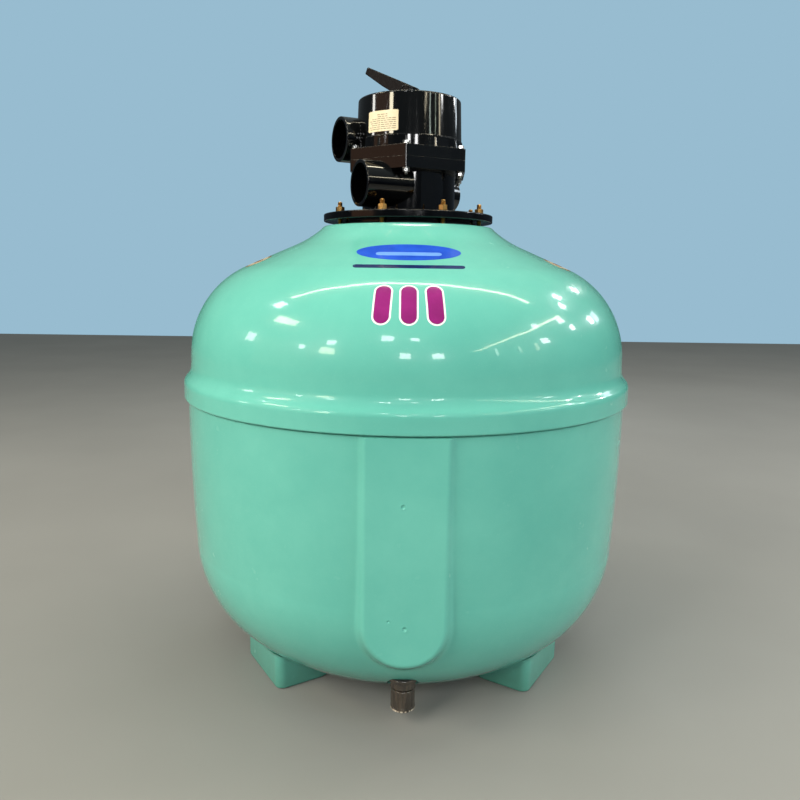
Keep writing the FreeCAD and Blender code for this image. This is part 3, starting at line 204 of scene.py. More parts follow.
# dashes on the label; the first lines are a shorter heading
LINE_COUNT = 8
LINE_FIRST = 0.0062
LINE_GAP = 0.00315
LINE_HALF = 0.0005
HEADING_LINES = 2
HEADING_INSET = 0.30
LINE_RAGGED = 0.04
DASH_SHORT = 2.2
DASH_MORE = 2.6
DASH_GAP = math.radians(0.9)
DASH_LEAST = math.radians(1)
INK_BACK = 0.00035
INK_FACE = 0.00044

# drain
DRAIN = Vector((0, -0.303, 0))
COLLAR_OUT = 0.023
COLLAR_LOW = 0.070
COLLAR_HEX = 0.0185
COLLAR_BORE = 0.015
COLLAR_EDGE = 0.0008
COLLAR_ROUND = 0.0018
COLLAR_ROUND_MIDDLE = 0.0006
COLLAR_GAP = 0.0001

# handle
HANDLE_TURN = math.radians(147)
HANDLE_HALF = 0.015
RING_POINTS = 72
RING_OUT = 0.0112
RING_BORE = 0.0090
RING_PROUD = 0.0010
RING_SINK = 0.0003
RING_BEVEL_IN = 0.0004
RING_BEVEL_OUT = 0.0006

# stickers on the dome, in layers above its face
FILM_POINTS = 64
FILM_LOOPS = 10
FILM_SINK = 0.0001
FILM_EDGE_STEP = 0.005
FIRST_LAYER = 0.0002
SECOND_LAYER = 0.0004
THIRD_LAYER = 0.0006
CAPSULE_UP = 0.6285
CAPSULE_RADIUS = 0.339
CAPSULE_PLACES = (-0.035, 0.0, 0.035)
SIDE_FILM_UP = 0.6835
SIDE_FILM_SWING = 1.2


# ------------ outlines

def arc_to(start, corner, step):
    """Points along the arc from start to a corner (across, up, radius, side)."""
    across, up, radius, side = corner
    chord = Vector((across - start[0], up - start[1]))
    left = Vector((-chord.y, chord.x)).normalized()
    rise = math.sqrt(max(radius ** 2 - (chord.length / 2) ** 2, 0))
    centre = (Vector(start) + Vector((across, up))) / 2 + left * rise * side
    first = math.atan2(start[1] - centre.y, start[0] - centre.x)
    sweep = side * 2 * math.asin(min(chord.length / 2 / radius, 1))
    count = max(int(abs(sweep) * radius / step), 4)
    points = []
    for index in range(count):
        turn = first + sweep * (index + 1) / count
        points.append((centre.x + radius * math.cos(turn), centre.y + radius * math.sin(turn)))
    return points


def between(start, end, share):
    """The point a share of the way from start to end."""
    return start[0] + (end[0] - start[0]) * share, start[1] + (end[1] - start[1]) * share


def outline(corners, step):
    """A line through corners; one with four numbers is reached by an arc."""
    points = [corners[0][:2]]
    for corner in corners[1:]:
        start = points[-1]
        if len(corner) == 4:
            points += arc_to(start, corner, step)
            continue
        count = max(round(math.dist(start, corner) / step), 1)
        points += [between(start, corner, (index + 1) / count) for index in range(count)]
    return points


def soft_min(first, second, reach):
    """The smaller of two numbers, with a smooth change over reach."""
    near = max(reach - abs(first - second), 0)
    return min(first, second) - near * near / (4 * reach)


def soft_max(first, second, reach):
    """The larger of two numbers, with a smooth change over reach."""
    return -soft_min(-first, -second, reach)


# ------------ meshes

def full_turn(count):
    """Angles spread evenly over one turn."""
    return [2 * math.pi * index / count for index in range(count)]


def at_turn(across, turn, up):
    """A point by its distance from the Z axis, its angle from +X and its height."""
    return Vector((across * math.cos(turn), across * math.sin(turn), up))


def from_front(across, swing, up):
    """A point by its distance from the Z axis, its angle from the front and its height."""
    return Vector((across * math.sin(swing), -across * math.cos(swing), up))


def in_scene(name, bm):
    """A scene object that holds a bmesh's faces; the bmesh is freed."""
    mesh = bpy.data.meshes.new(name)
    bm.to_mesh(mesh)
    bm.free()
    item = bpy.data.objects.new(name, mesh)
    bpy.context.scene.collection.objects.link(item)
    return item


def shade(bm):
    """Smooth shading, but for open edges and sharp ones."""
    for face in bm.faces:
        face.smooth = True
    for edge in bm.edges:
        edge.smooth = len(edge.link_faces) == 2 and edge.calc_face_angle() < SHARP


def new_object(name, bm, material, body="root"):
    """A finished piece from a bmesh: outward faces, smooth but for its edges."""
    bmesh.ops.remove_doubles(bm, verts=bm.verts, dist=SAME)
    bmesh.ops.recalc_face_normals(bm, faces=bm.faces)
    shade(bm)
    item = in_scene(name, bm)
    item.data.materials.append(material)
    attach(item, body)
    return item


def add_grid(bm, rows, close_rows=False, close_across=False):
    """Quads between rows of points that all have the same length."""
    made = [[bm.verts.new(point) for point in row] for row in rows]
    count = len(made)
    across = len(made[0])
    for index in range(count if close_rows else count - 1):
        here = made[index]
        there = made[(index + 1) % count]
        for place in range(across if close_across else across - 1):
            after = (place + 1) % across
            bm.faces.new((here[place], here[after], there[after], there[place]))
    return made


def add_cap(bm, ring):
    """Close a ring of vertices with a fan about its middle."""
    middle = bm.verts.new(sum((vert.co for vert in ring), Vector()) / len(ring))
    for index, vert in enumerate(ring):
        bm.faces.new((vert, ring[(index + 1) % len(ring)], middle))


def add_capped(bm, rings):
    """A solid through rings of points, closed at both ends."""
    made = add_grid(bm, rings, close_across=True)
    add_cap(bm, made[0])
    add_cap(bm, made[-1])


def add_turned(bm, line, count, closed=True, centre=Vector()):
    """A line of (radius, height) turned about an upright axis."""
    rows = [[centre + at_turn(across, turn, up) for across, up in line] for turn in full_turn(count)]
    add_grid(bm, rows, close_rows=True, close_across=closed)


def around(count, first, radius):
    """Placements spread round the Z axis, each turned to face it."""
    for turn in full_turn(count):
        yield Matrix.Rotation(first + turn, 4, "Z") @ Matrix.Translation((radius, 0, 0))


def repeated(name, build, placements, material, body="root"):
    """One piece that holds the same small solid at several placements."""
    whole = bmesh.new()
    for placement in placements:
        single = bmesh.new()
        build(single)
        bmesh.ops.transform(single, matrix=placement, verts=single.verts)
        mesh = bpy.data.meshes.new("part")
        single.to_mesh(mesh)
        single.free()
        whole.from_mesh(mesh)
        bpy.data.meshes.remove(mesh)
    return new_object(name, whole, material, body)


def add_hexagon(bm, half, bore, low, high, sides=(True, True)):
    """A nut or head with its corners chamfered at the chosen ends, low and high."""
    rise = CHAMFER_RISE * half
    limits = [(share * rise, half * (CHAMFER_START + CHAMFER_SPREAD * share)) for share in CHAMFER_SHARES]
    corner = half / math.cos(math.pi / 6)
    rows = [(low + up, limit) for up, limit in limits] if sides[0] else [(low, corner)]
    rows += [(high - up, limit) for up, limit in reversed(limits)] if sides[1] else [(high, corner)]
    rings = []
    for up, limit in rows:
        ring = []
        for turn in full_turn(HEX_POINTS):
            flat = half / math.cos((turn + math.pi / 6) % (math.pi / 3) - math.pi / 6)
            ring.append(at_turn(min(flat, limit), turn, up))
        rings.append(ring)
    if bore:
        sink = bore * BORE_SINK
        for across, up in ((bore + sink, high), (bore, high - sink), (bore, low + sink), (bore + sink, low)):
            rings.append([at_turn(across, turn, up) for turn in full_turn(HEX_POINTS)])
        add_grid(bm, rings, close_rows=True, close_across=True)
    else:
        add_capped(bm, rings)


def add_thread(bm, radius, pitch, low, high):
    """A threaded rod with bevelled ends."""
    depth = pitch * THREAD_DEPTH
    steps = int((high - low) / (pitch / THREAD_RINGS))
    rings = []
    for step in range(steps + 1):
        up = low + (high - low) * step / steps
        end = min(up - low, high - up)
        ring = []
        for index, turn in enumerate(full_turn(THREAD_POINTS)):
            phase = (up / pitch - index / THREAD_POINTS) % 1
            across = radius - depth * abs(2 * phase - 1) ** THREAD_CREST
            if end < depth + THREAD_BEVEL:
                across = min(across, radius - depth - THREAD_BEVEL + end)
            ring.append(at_turn(across, turn, up))
        rings.append(ring)
    add_capped(bm, rings)


def cut_away(item, bm):
    """Subtract the solid in a bmesh from a piece."""
    bmesh.ops.remove_doubles(bm, verts=bm.verts, dist=SAME)
    bmesh.ops.recalc_face_normals(bm, faces=bm.faces)
    cutter = in_scene("cutter", bm)
    modifier = item.modifiers.new("cut", "BOOLEAN")
    modifier.operation = "DIFFERENCE"
    modifier.solver = "EXACT"
    modifier.object = cutter
    graph = bpy.context.evaluated_depsgraph_get()
    mesh = bpy.data.meshes.new_from_object(item.evaluated_get(graph))
    item.modifiers.clear()
    item.data = mesh
    bpy.data.objects.remove(cutter)
    bm = bmesh.new()
    bm.from_mesh(mesh)
    shade(bm)
    bm.to_mesh(mesh)
    bm.free()


# ------------ materials

def tone(red, green, blue):
    """A linear colour from everyday 0 to 255 values."""
    channels = []
    for value in (red, green, blue):
        share = value / 255
        channels.append(share / 12.92 if share <= 0.04045 else ((share + 0.055) / 1.055) ** 2.4)
    return (*channels, 1)


def blank(name):
    """A new node material, its tree, its shader and its object coordinates."""
    material = bpy.data.materials.new(name)
    material.use_nodes = True
    tree = material.node_tree
    shader = tree.nodes["Principled BSDF"]
    place = tree.nodes.new("ShaderNodeTexCoord").outputs["Object"]
    return material, tree, shader, place


def feed(tree, socket, value):
    """Link a socket to another one, or set it to a value."""
    if isinstance(value, bpy.types.NodeSocket):
        tree.links.new(value, socket)
    else:
        socket.default_value = value


def dress(tree, shader, sockets):
    """Feed a shader's sockets by their names."""
    for name, value in sockets.items():
        feed(tree, shader.inputs[name], value)


def node(tree, kind, sockets=None, **settings):
    """A node with its settings, and its sockets set to values or linked."""
    made = tree.nodes.new(kind)
    for key, value in settings.items():
        setattr(made, key, value)
    for key, value in (sockets or {}).items():
        feed(tree, made.inputs[key], value)
    return made


def noise_of(tree, place, scale, detail=3.0, roughness=0.55, stretch=(1, 1, 1)):
    """Cloudy noise from 0 to 1; an axis with less stretch has longer clouds."""
    moved = node(tree, "ShaderNodeMapping", {"Vector": place, "Scale": stretch}).outputs["Vector"]
    sockets = {"Vector": moved, "Scale": scale, "Detail": detail, "Roughness": roughness}
    return node(tree, "ShaderNodeTexNoise", sockets).outputs["Fac"]


def spread(tree, factor, low, high, to_low=0.0, to_high=1.0):
    """Map a factor's range onto another, clamped."""
    return node(tree, "ShaderNodeMapRange", {"Value": factor, "From Min": low, "From Max": high,
                                             "To Min": to_low, "To Max": to_high}).outputs["Result"]


def mixed(tree, factor, first, second):
    """A colour between two; a colour mix node has them in its sockets 6 and 7."""
    return node(tree, "ShaderNodeMix", {0: factor, 6: first, 7: second}, data_type="RGBA").outputs[2]


def times(tree, first, second):
    """The product of two factors."""
    return node(tree, "ShaderNodeMath", {0: first, 1: second}, operation="MULTIPLY").outputs[0]


def plus(tree, first, second):
    """The sum of two factors."""
    return node(tree, "ShaderNodeMath", {0: first, 1: second}, operation="ADD").outputs[0]


def height_of(tree, place):
    """The Z part of a place or direction."""
    return node(tree, "ShaderNodeSeparateXYZ", {"Vector": place}).outputs["Z"]


def rounded_edges(tree, radius):
    """Normals that run round the sharp edges as if they had a small radius."""
    return node(tree, "ShaderNodeBevel", {"Radius": radius}, samples=6).outputs["Normal"]


def bumped(tree, shader, height, distance, strength, under=None):
    """Bump the shader's normal by a height, on top of the normal under it."""
    sockets = {"Height": height, "Distance": distance, "Strength": strength}
    if under is not None:
        sockets["Normal"] = under
    made = node(tree, "ShaderNodeBump", sockets).outputs["Normal"]
    tree.links.new(made, shader.inputs["Normal"])
    return made


def gel_coat():
    """Mint gel-coat: mottled laminate under it, orange peel, dust, and painted shade near the floor."""
    material, tree, shader, place = blank("gel_coat")
    cloud = noise_of(tree, place, scale=5.0, detail=4.0, roughness=0.6)
    weave = noise_of(tree, place, scale=38.0, detail=3.0, roughness=0.6)
    speck = noise_of(tree, place, scale=900.0, detail=1.0, roughness=0.5)
    base = mixed(tree, spread(tree, cloud, 0.32, 0.7), tone(93, 172, 158), tone(103, 181, 166))
    base = mixed(tree, spread(tree, weave, 0.35, 0.75, 0.0, 0.22), base, tone(85, 163, 150))
    dusty = spread(tree, speck, 0.70, 0.76, 0.0, 0.16)
    base = mixed(tree, dusty, base, tone(168, 205, 190))
    # painted shade: the colour darkens towards the floor, from about 0.12 m down
    height = plus(tree, height_of(tree, place), times(tree, weave, 0.04))
    painted_floor_shade = spread(tree, height, 0.03, 0.12, 0.62, 0.0)
    base = mixed(tree, painted_floor_shade, base, tone(66, 112, 98))
    wear = plus(tree, spread(tree, weave, 0.3, 0.8, 0.16, 0.30), dusty)
    dress(tree, shader, {"Base Color": base, "Roughness": wear, "Specular IOR Level": 0.15,
                         "Coat Weight": 0.42, "Coat IOR": 1.45, "Coat Roughness": 0.02})
    wave = noise_of(tree, place, scale=9.0, detail=2.0, roughness=0.5)
    peel = noise_of(tree, place, scale=240.0, detail=1.0, roughness=0.5)
    under = bumped(tree, shader, wave, 0.0022, 0.5)
    smooth = bumped(tree, shader, peel, 0.00006, 0.3, under)
    tree.links.new(smooth, shader.inputs["Coat Normal"])
    return material


def black_plastic(name, dark, light, mark_stretch, gloss, edge=0.0005, shine=0.5, rim=0.0):
    """Glossy moulded plastic with cloudy marks between the dark and light tones, stretched as given: flow
    marks on the valve and painted highlight streaks on the drain; scratches and dust; pale specks below the
    height rim are painted highlights.
    """
    material, tree, shader, place = blank(name)
    cloud = noise_of(tree, place, scale=22.0, detail=4.0, roughness=0.6, stretch=mark_stretch)
    scratch = noise_of(tree, place, scale=420.0, detail=2.0, roughness=0.6, stretch=(1.0, 1.0, 0.08))
    speck = noise_of(tree, place, scale=1300.0, detail=1.0, roughness=0.5)
    base = mixed(tree, spread(tree, cloud, 0.35, 0.75), dark, light)
    dusty = spread(tree, speck, 0.70, 0.76, 0.0, 0.05)
    base = mixed(tree, dusty, base, tone(120, 116, 108))
    # painted highlight: pale specks below the height rim, along the drain cap's lower edge
    if rim:
        below = spread(tree, height_of(tree, place), rim, rim + 0.0008, 0.9, 0.0)
        painted_rim_glints = times(tree, below, spread(tree, scratch, 0.4, 0.55))
        base = mixed(tree, painted_rim_glints, base, tone(214, 200, 180))
    rough = spread(tree, cloud, 0.3, 0.8, gloss, gloss + 0.08)
    rough = plus(tree, rough, spread(tree, scratch, 0.62, 0.75, 0.0, 0.10))
    rough = plus(tree, rough, dusty)
    dress(tree, shader, {"Base Color": base, "Roughness": rough, "Specular IOR Level": shine})
    wave = noise_of(tree, place, scale=26.0, detail=2.0, roughness=0.5, stretch=mark_stretch)
    under = bumped(tree, shader, wave, 0.0008, 0.5, rounded_edges(tree, edge))
    bumped(tree, shader, scratch, 0.00004, 0.25, under)
    return material


def metal(name, first, second, stain, rough, grain=(1, 1, 1)):
    """Plated or bright metal with brushed grain and stains."""
    material, tree, shader, place = blank(name)
    cloud = noise_of(tree, place, scale=160.0, detail=4.0, roughness=0.65)
    line = noise_of(tree, place, scale=900.0, detail=2.0, roughness=0.5, stretch=grain)
    spot = noise_of(tree, place, scale=420.0, detail=3.0, roughness=0.7)
    base = mixed(tree, spread(tree, cloud, 0.35, 0.7), first, second)
    dull = spread(tree, spot, 0.56, 0.72, 0.0, 0.75)
    base = mixed(tree, dull, base, stain)
    brushed = spread(tree, line, 0.3, 0.7, rough - 0.08, rough + 0.1)
    worn = plus(tree, brushed, times(tree, dull, 0.3))
    dress(tree, shader, {"Base Color": base, "Roughness": worn, "Metallic": 1.0})
    bumped(tree, shader, line, 0.00004, 0.4)
    return material


def rubber(name, colour, grey):
    """Matt rubber with a bloom and a fine grain."""
    material, tree, shader, place = blank(name)
    cloud = noise_of(tree, place, scale=60.0, detail=4.0, roughness=0.6)
    grain = noise_of(tree, place, scale=1500.0, detail=2.0, roughness=0.6)
    dress(tree, shader, {"Base Color": mixed(tree, spread(tree, cloud, 0.4, 0.75), colour, grey),
                         "Roughness": spread(tree, cloud, 0.3, 0.8, 0.55, 0.8)})
    bumped(tree, shader, grain, 0.00008, 0.5)
    return material


def moulded(name, first, second, low_rough, high_rough, scale=40.0):
    """Plain moulded plastic: pipe, film, bearing or resin."""
    material, tree, shader, place = blank(name)
    cloud = noise_of(tree, place, scale, detail=4.0, roughness=0.6)
    grain = noise_of(tree, place, scale * 30, detail=2.0, roughness=0.6)
    dress(tree, shader, {"Base Color": mixed(tree, spread(tree, cloud, 0.35, 0.7), first, second),
                         "Roughness": spread(tree, grain, 0.3, 0.7, low_rough, high_rough)})
    bumped(tree, shader, grain, 0.00005, 0.4)
    return material


GEL_COAT = gel_coat()
VALVE_BLACK = black_plastic("valve_black", tone(2, 2, 3), tone(5, 5, 5), mark_stretch=(1, 1, 0.35), gloss=0.04)
HANDLE_BLACK = black_plastic("handle_black", tone(13, 15, 17), tone(20, 22, 24), mark_stretch=(1, 1, 1), gloss=0.14,
                             edge=0.0022, shine=0.22)
PLATE_BLACK = black_plastic("plate_black", tone(2, 2, 3), tone(5, 5, 5), mark_stretch=(1, 1, 1), gloss=0.08)
ZINC = metal("yellow_zinc", tone(200, 162, 100), tone(160, 122, 68), tone(92, 66, 38), 0.34)
STEEL = metal("bright_steel", tone(205, 205, 202), tone(168, 168, 166), tone(110, 104, 96), 0.28,
              (1, 1, 0.1))
SPRING = metal("spring_steel", tone(150, 150, 150), tone(116, 116, 118), tone(82, 76, 70), 0.32)
RUBBER = rubber("seal_rubber", tone(22, 22, 22), tone(40, 40, 40))
PIPE_WHITE = moulded("pipe_white", tone(214, 213, 206), tone(200, 198, 188), 0.28, 0.4)
BEARING = moulded("bearing_plastic", tone(186, 184, 176), tone(170, 168, 160), 0.35, 0.5)
RESIN = moulded("bond_resin", tone(120, 150, 130), tone(100, 132, 116), 0.3, 0.5)
# drain cap: brown-grey, with its pale tone drawn into upright streaks that are painted highlights on its
# ribs; rim adds painted highlight specks at its lower edge
DRAIN_DARK = black_plastic("drain_plastic", tone(18, 15, 13), tone(74, 63, 52), mark_stretch=(2.6, 2.6, 0.4),
                           gloss=0.05, edge=0.0014, shine=0.9, rim=0.0256)

# label and stickers
LABEL_CREAM = moulded("label_cream", tone(222, 207, 174), tone(212, 196, 160), 0.3, 0.42, 60.0)
INK = moulded("label_ink", tone(92, 78, 58), tone(120, 104, 80), 0.4, 0.5, 80.0)
FILM_BLUE = moulded("film_blue", tone(38, 84, 200), tone(30, 70, 178), 0.12, 0.2, 30.0)
FILM_NAVY = moulded("film_navy", tone(22, 36, 92), tone(18, 30, 76), 0.12, 0.2, 30.0)
FILM_PALE = moulded("film_pale", tone(112, 158, 232), tone(96, 144, 220), 0.12, 0.2, 30.0)
FILM_WHITE = moulded("film_white", tone(236, 238, 236), tone(226, 230, 228), 0.12, 0.2, 30.0)
FILM_MAGENTA = moulded("film_magenta", tone(138, 26, 110), tone(124, 20, 98), 0.12, 0.2, 30.0)
FILM_TAN = moulded("film_tan", tone(150, 116, 84), tone(132, 100, 72), 0.14, 0.25, 60.0)
FILM_CREAM = moulded("film_cream", tone(206, 196, 170), tone(192, 182, 156), 0.14, 0.25, 60.0)

FINISH = {
    "gelcoat": GEL_COAT,
    "valve_plastic": VALVE_BLACK,
    "plated_steel": ZINC,
    "stainless_steel": STEEL,
    "rubber": RUBBER,
    "white_plastic": PIPE_WHITE,
    "drain_plastic": DRAIN_DARK,
    "label_film": LABEL_CREAM,
    "adhesive": RESIN,
    "spring_steel": SPRING,
    "bearing_plastic": BEARING,
}


def finish_cad_nodes():
    """Give every CAD node that stays the material of its slot."""
    for part in frame["record"]["subparts"]:
        item = NODES[part["node"]]
        item.data.materials.clear()
        item.data.materials.append(FINISH[part["material_slot"]])
    NODES["valve_plate"].data.materials[0] = PLATE_BLACK
    NODES["valve_handle"].data.materials[0] = HANDLE_BLACK


# ------------ tank

def waver(point, depth):
    """Slight unevenness of hand-laid work, always towards the inside."""
    slow = noise.noise(point * 7.0)
    quick = noise.noise(point * 19.0 + Vector((3.1, 1.7, 5.3)))
    return depth * (0.5 + 0.38 * slow + 0.12 * quick)


def spaced(centre, half, step):
    """Even values from half below a centre to half above it, about a step apart."""
    count = round(2 * half / step)
    return [centre - half + 2 * half * index / count for index in range(count + 1)]


def thinned(values, least):
    """Rising values without those that are too near the one before."""
    kept = values[:1]
    for value in values[1:]:
        if value - kept[-1] > least:
            kept.append(value)
    return kept


def front_swings():
    """Angles from the front round the tank: close on the panel, closest at its pits."""
    coarse = [value for value in spaced(0, math.pi, SWING_STEP)[:-1] if abs(value) > PANEL_SWING]
    fine = spaced(0, PANEL_SWING, PANEL_SWING_STEP)
    for across, _, radius in PITS:
        step = radius / PANEL_FRONT / PIT_STEPS
        fine += spaced(across / PANEL_FRONT, PIT_REACH * radius / PANEL_FRONT, step)
    return thinned(sorted(coarse + fine), SWING_LEAST)


def panel_surface(across, up):
    """Distance of the panel's face and flanks in front of the axis."""
    beside = math.hypot(across, min(up - PANEL_CENTRE, 0)) - PANEL_HALF
    return PANEL_FRONT - soft_max(beside, 0, PANEL_EDGE) / math.tan(PANEL_DRAFT)


def pit_depth(across, up):
    """How far the pits sink the panel's face at a place; a pit's rim stands up a little."""
    depth = 0
    for centre, height, radius in PITS:
        away = math.hypot(across - centre, up - height) / radius
        if away < PIT_REACH:
            bowl = PIT_BOWL * math.exp(-2.2 * away ** 2)
            rim = PIT_RIM * math.exp(-9 * (away - PIT_RIM_PLACE) ** 2)
            depth += radius * (bowl - rim)
    return depth


def shell_point(swing, across, up, outside):
    """A point of the lower shell, pushed out where the panel stands proud."""
    side = across * math.sin(swing)
    ahead = across * math.cos(swing)
    if outside and ahead > 0 and abs(side) < 3 * PANEL_HALF and up < STEP_HIGH - SAME:
        ahead = -soft_min(-ahead, -panel_surface(side, up), PANEL_BLEND) - pit_depth(side, up)
    point = Vector((side, -ahead, up))
    if outside and up > BOTTOM + 0.001:
        inward = Vector((-side, ahead, 0)).normalized()
        point += inward * waver(point, LOWER_WAVER)
    return point


def make_lower_shell():
    """Lower moulding with its front panel and the recess for the drain."""
    outer = outline([
        (0, BOTTOM),
        (SIDE_RADIUS - KNUCKLE, BOTTOM),
        (SIDE_RADIUS, SIDE_START, KNUCKLE, 1),
        (SHELL_RADIUS, SIDE_FULL, SIDE_BOW, 1),
        (SHELL_RADIUS, STEP_LOW),
        (TONGUE_RADIUS, STEP_HIGH),
        (TONGUE_RADIUS, TONGUE_TOP),
    ], OUTSIDE_STEP)
    heights = {point[1] for point in outer}
    for _, up, radius in PITS:
        heights.update(spaced(up, PIT_REACH * radius, radius / PIT_STEPS))
    heights = thinned(sorted(heights), HEIGHT_LEAST)
    outer = [point for point in outer if point[1] <= PANEL_LOW or point[1] >= STEP_LOW]
    outer += [(side_radius_at(up), up) for up in heights if PANEL_LOW < up < STEP_LOW]
    outer.sort(key=lambda point: (point[1], point[0] if point[1] < STEP_HIGH else -point[0]))
    inner = outline([
        (TONGUE_RADIUS - WALL, TONGUE_TOP),
        (TONGUE_RADIUS - WALL, STEP_HIGH - WALL),
        (SHELL_RADIUS - WALL, STEP_LOW - WALL),
        (SHELL_RADIUS - WALL, SIDE_FULL),
        (SIDE_RADIUS - WALL, SIDE_START, SIDE_BOW, -1),
        (SIDE_RADIUS - KNUCKLE, BOTTOM + WALL, KNUCKLE - WALL, -1),
        (0, BOTTOM + WALL),
    ], LOWER_INSIDE_STEP)
    bm = bmesh.new()
    rows = []
    for swing in front_swings():
        row = [shell_point(swing, across, up, True) for across, up in outer]
        row += [shell_point(swing, across, up, False) for across, up in inner]
        rows.append(row)
    add_grid(bm, rows, close_rows=True)
    shell = new_object("lower_shell_moulding", bm, GEL_COAT)
    recess = bmesh.new()
    line = outline([
        (0, RECESS_LOW),
        (RECESS_RADIUS_LOW, RECESS_LOW),
        (RECESS_RADIUS_TOP, RECESS_TOP),
        (0, RECESS_TOP),
    ], RECESS_STEP)
    add_turned(recess, line, ROUND_POINTS, closed=False, centre=DRAIN)
    cut_away(shell, recess)
    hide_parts("lower_shell")


SIDE_LINE = outline([(SIDE_RADIUS, SIDE_START), (SHELL_RADIUS, SIDE_FULL, SIDE_BOW, 1)], 0.002)


def side_radius_at(up):
    """Outer radius of the lower shell at a height."""
    if up < SIDE_START:
        return SIDE_RADIUS - KNUCKLE + math.sqrt(max(KNUCKLE ** 2 - (SIDE_START - up) ** 2, 0))
    if up < SIDE_FULL:
        for corner, after in zip(SIDE_LINE, SIDE_LINE[1:]):
            if corner[1] <= up <= after[1]:
                return between(corner, after, (up - corner[1]) / (after[1] - corner[1]))[0]
    return SHELL_RADIUS


def upper_outside():
    """Outline of the upper shell's outer face, from the belt's lip to the neck."""
    slope = DOME_SLOPE
    out = BELT_RADIUS - BELT_OUT
    bends = BELT_CROWN + BELT_FLARE
    rise = math.sqrt(2 * out * bends - out ** 2)
    share = BELT_CROWN / bends
    centre = DOME_RADIUS - DOME_BEND
    bend = (centre + DOME_BEND * math.sin(slope), DOME_START + DOME_BEND * math.cos(slope))
    flare = (NECK_BLEND * (math.sin(NECK_SLOPE) - math.sin(slope)),
             NECK_BLEND * (math.cos(slope) - math.cos(NECK_SLOPE)))
    edge_up = NECK_TOP - NECK_EDGE * (1 - math.cos(NECK_SLOPE))
    edge_across = bend[0] - flare[0] - (edge_up - bend[1] - flare[1]) / math.tan(slope)
    return [
        (TONGUE_RADIUS + BOND, BELT_LOW),
        (BELT_RADIUS - BELT_LIP, BELT_LOW),
        (BELT_RADIUS, BELT_LOW + BELT_LIP, BELT_LIP, 1),
        (BELT_RADIUS, BELT_FLAT),
        (BELT_RADIUS - out * share, BELT_FLAT + rise * share, BELT_CROWN, 1),
        (BELT_OUT, BELT_FLAT + rise, BELT_FLARE, -1),
        (DOME_RADIUS, DOME_START, DOME_BOW, -1),
        (*bend, DOME_BEND, 1),
        (edge_across + flare[0], edge_up - flare[1]),
        (edge_across, edge_up, NECK_BLEND, -1),
        (edge_across - NECK_EDGE * math.sin(NECK_SLOPE), NECK_TOP, NECK_EDGE, 1),
        (NECK_BORE, NECK_TOP),
    ]


def dome_point(swing, across, up):
    """A point of the upper shell's outer face, with its slight unevenness."""
    point = from_front(across, swing, up)
    if BELT_LOW + BELT_LIP < up < NECK_TOP - NECK_EDGE:
        inward = Vector((-point.x, -point.y, -across * 0.5)).normalized()
        point += inward * waver(point, UPPER_WAVER)
    return point


def make_upper_shell():
    """Upper moulding: belt, dome, shoulder and neck."""
    centre = DOME_RADIUS - DOME_BEND
    inner = DOME_BEND - WALL
    inner_bend = (centre + inner * math.sin(DOME_SLOPE), DOME_START + inner * math.cos(DOME_SLOPE))
    under_neck = NECK_TOP - NECK_THICK
    under_across = inner_bend[0] - (under_neck - inner_bend[1]) / math.tan(DOME_SLOPE)
    outer = outline(upper_outside(), OUTSIDE_STEP)
    back = outline([
        (NECK_BORE, under_neck),
        (under_across, under_neck),
        inner_bend,
        (DOME_RADIUS - WALL, DOME_START, inner, -1),
        (DOME_RADIUS - WALL, LEDGE_HIGH),
        (TONGUE_RADIUS + BOND, LEDGE_LOW),
        (TONGUE_RADIUS + BOND, BELT_LOW),
    ], UPPER_INSIDE_STEP)[:-1]
    bm = bmesh.new()
    rows = []
    for swing in spaced(0, math.pi, UPPER_SWING_STEP)[:-1]:
        row = [dome_point(swing, across, up) for across, up in outer]
        row += [from_front(across, swing, up) for across, up in back]
        rows.append(row)
    add_grid(bm, rows, close_rows=True, close_across=True)
    shell = new_object("upper_shell_moulding", bm, GEL_COAT)
    holes = bmesh.new()
    line = outline([
        (0, under_neck - CUT_PAST),
        (STUD_HOLE, under_neck - CUT_PAST),
        (STUD_HOLE, NECK_TOP + CUT_PAST),
        (0, NECK_TOP + CUT_PAST),
    ], STUD_HOLE_STEP)
    for placement in around(STUD_COUNT, STUD_FIRST, STUD_CIRCLE):
        add_turned(holes, line, STUD_HOLE_POINTS, closed=False, centre=placement.to_translation())
    cut_away(shell, holes)
    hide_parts("upper_shell")


def underside(across):
    """Height of the lower shell's underside at a distance from the axis."""
    past = max(across - (SIDE_RADIUS - KNUCKLE), 0)
    return SIDE_START - math.sqrt(max(KNUCKLE ** 2 - past ** 2, 0))


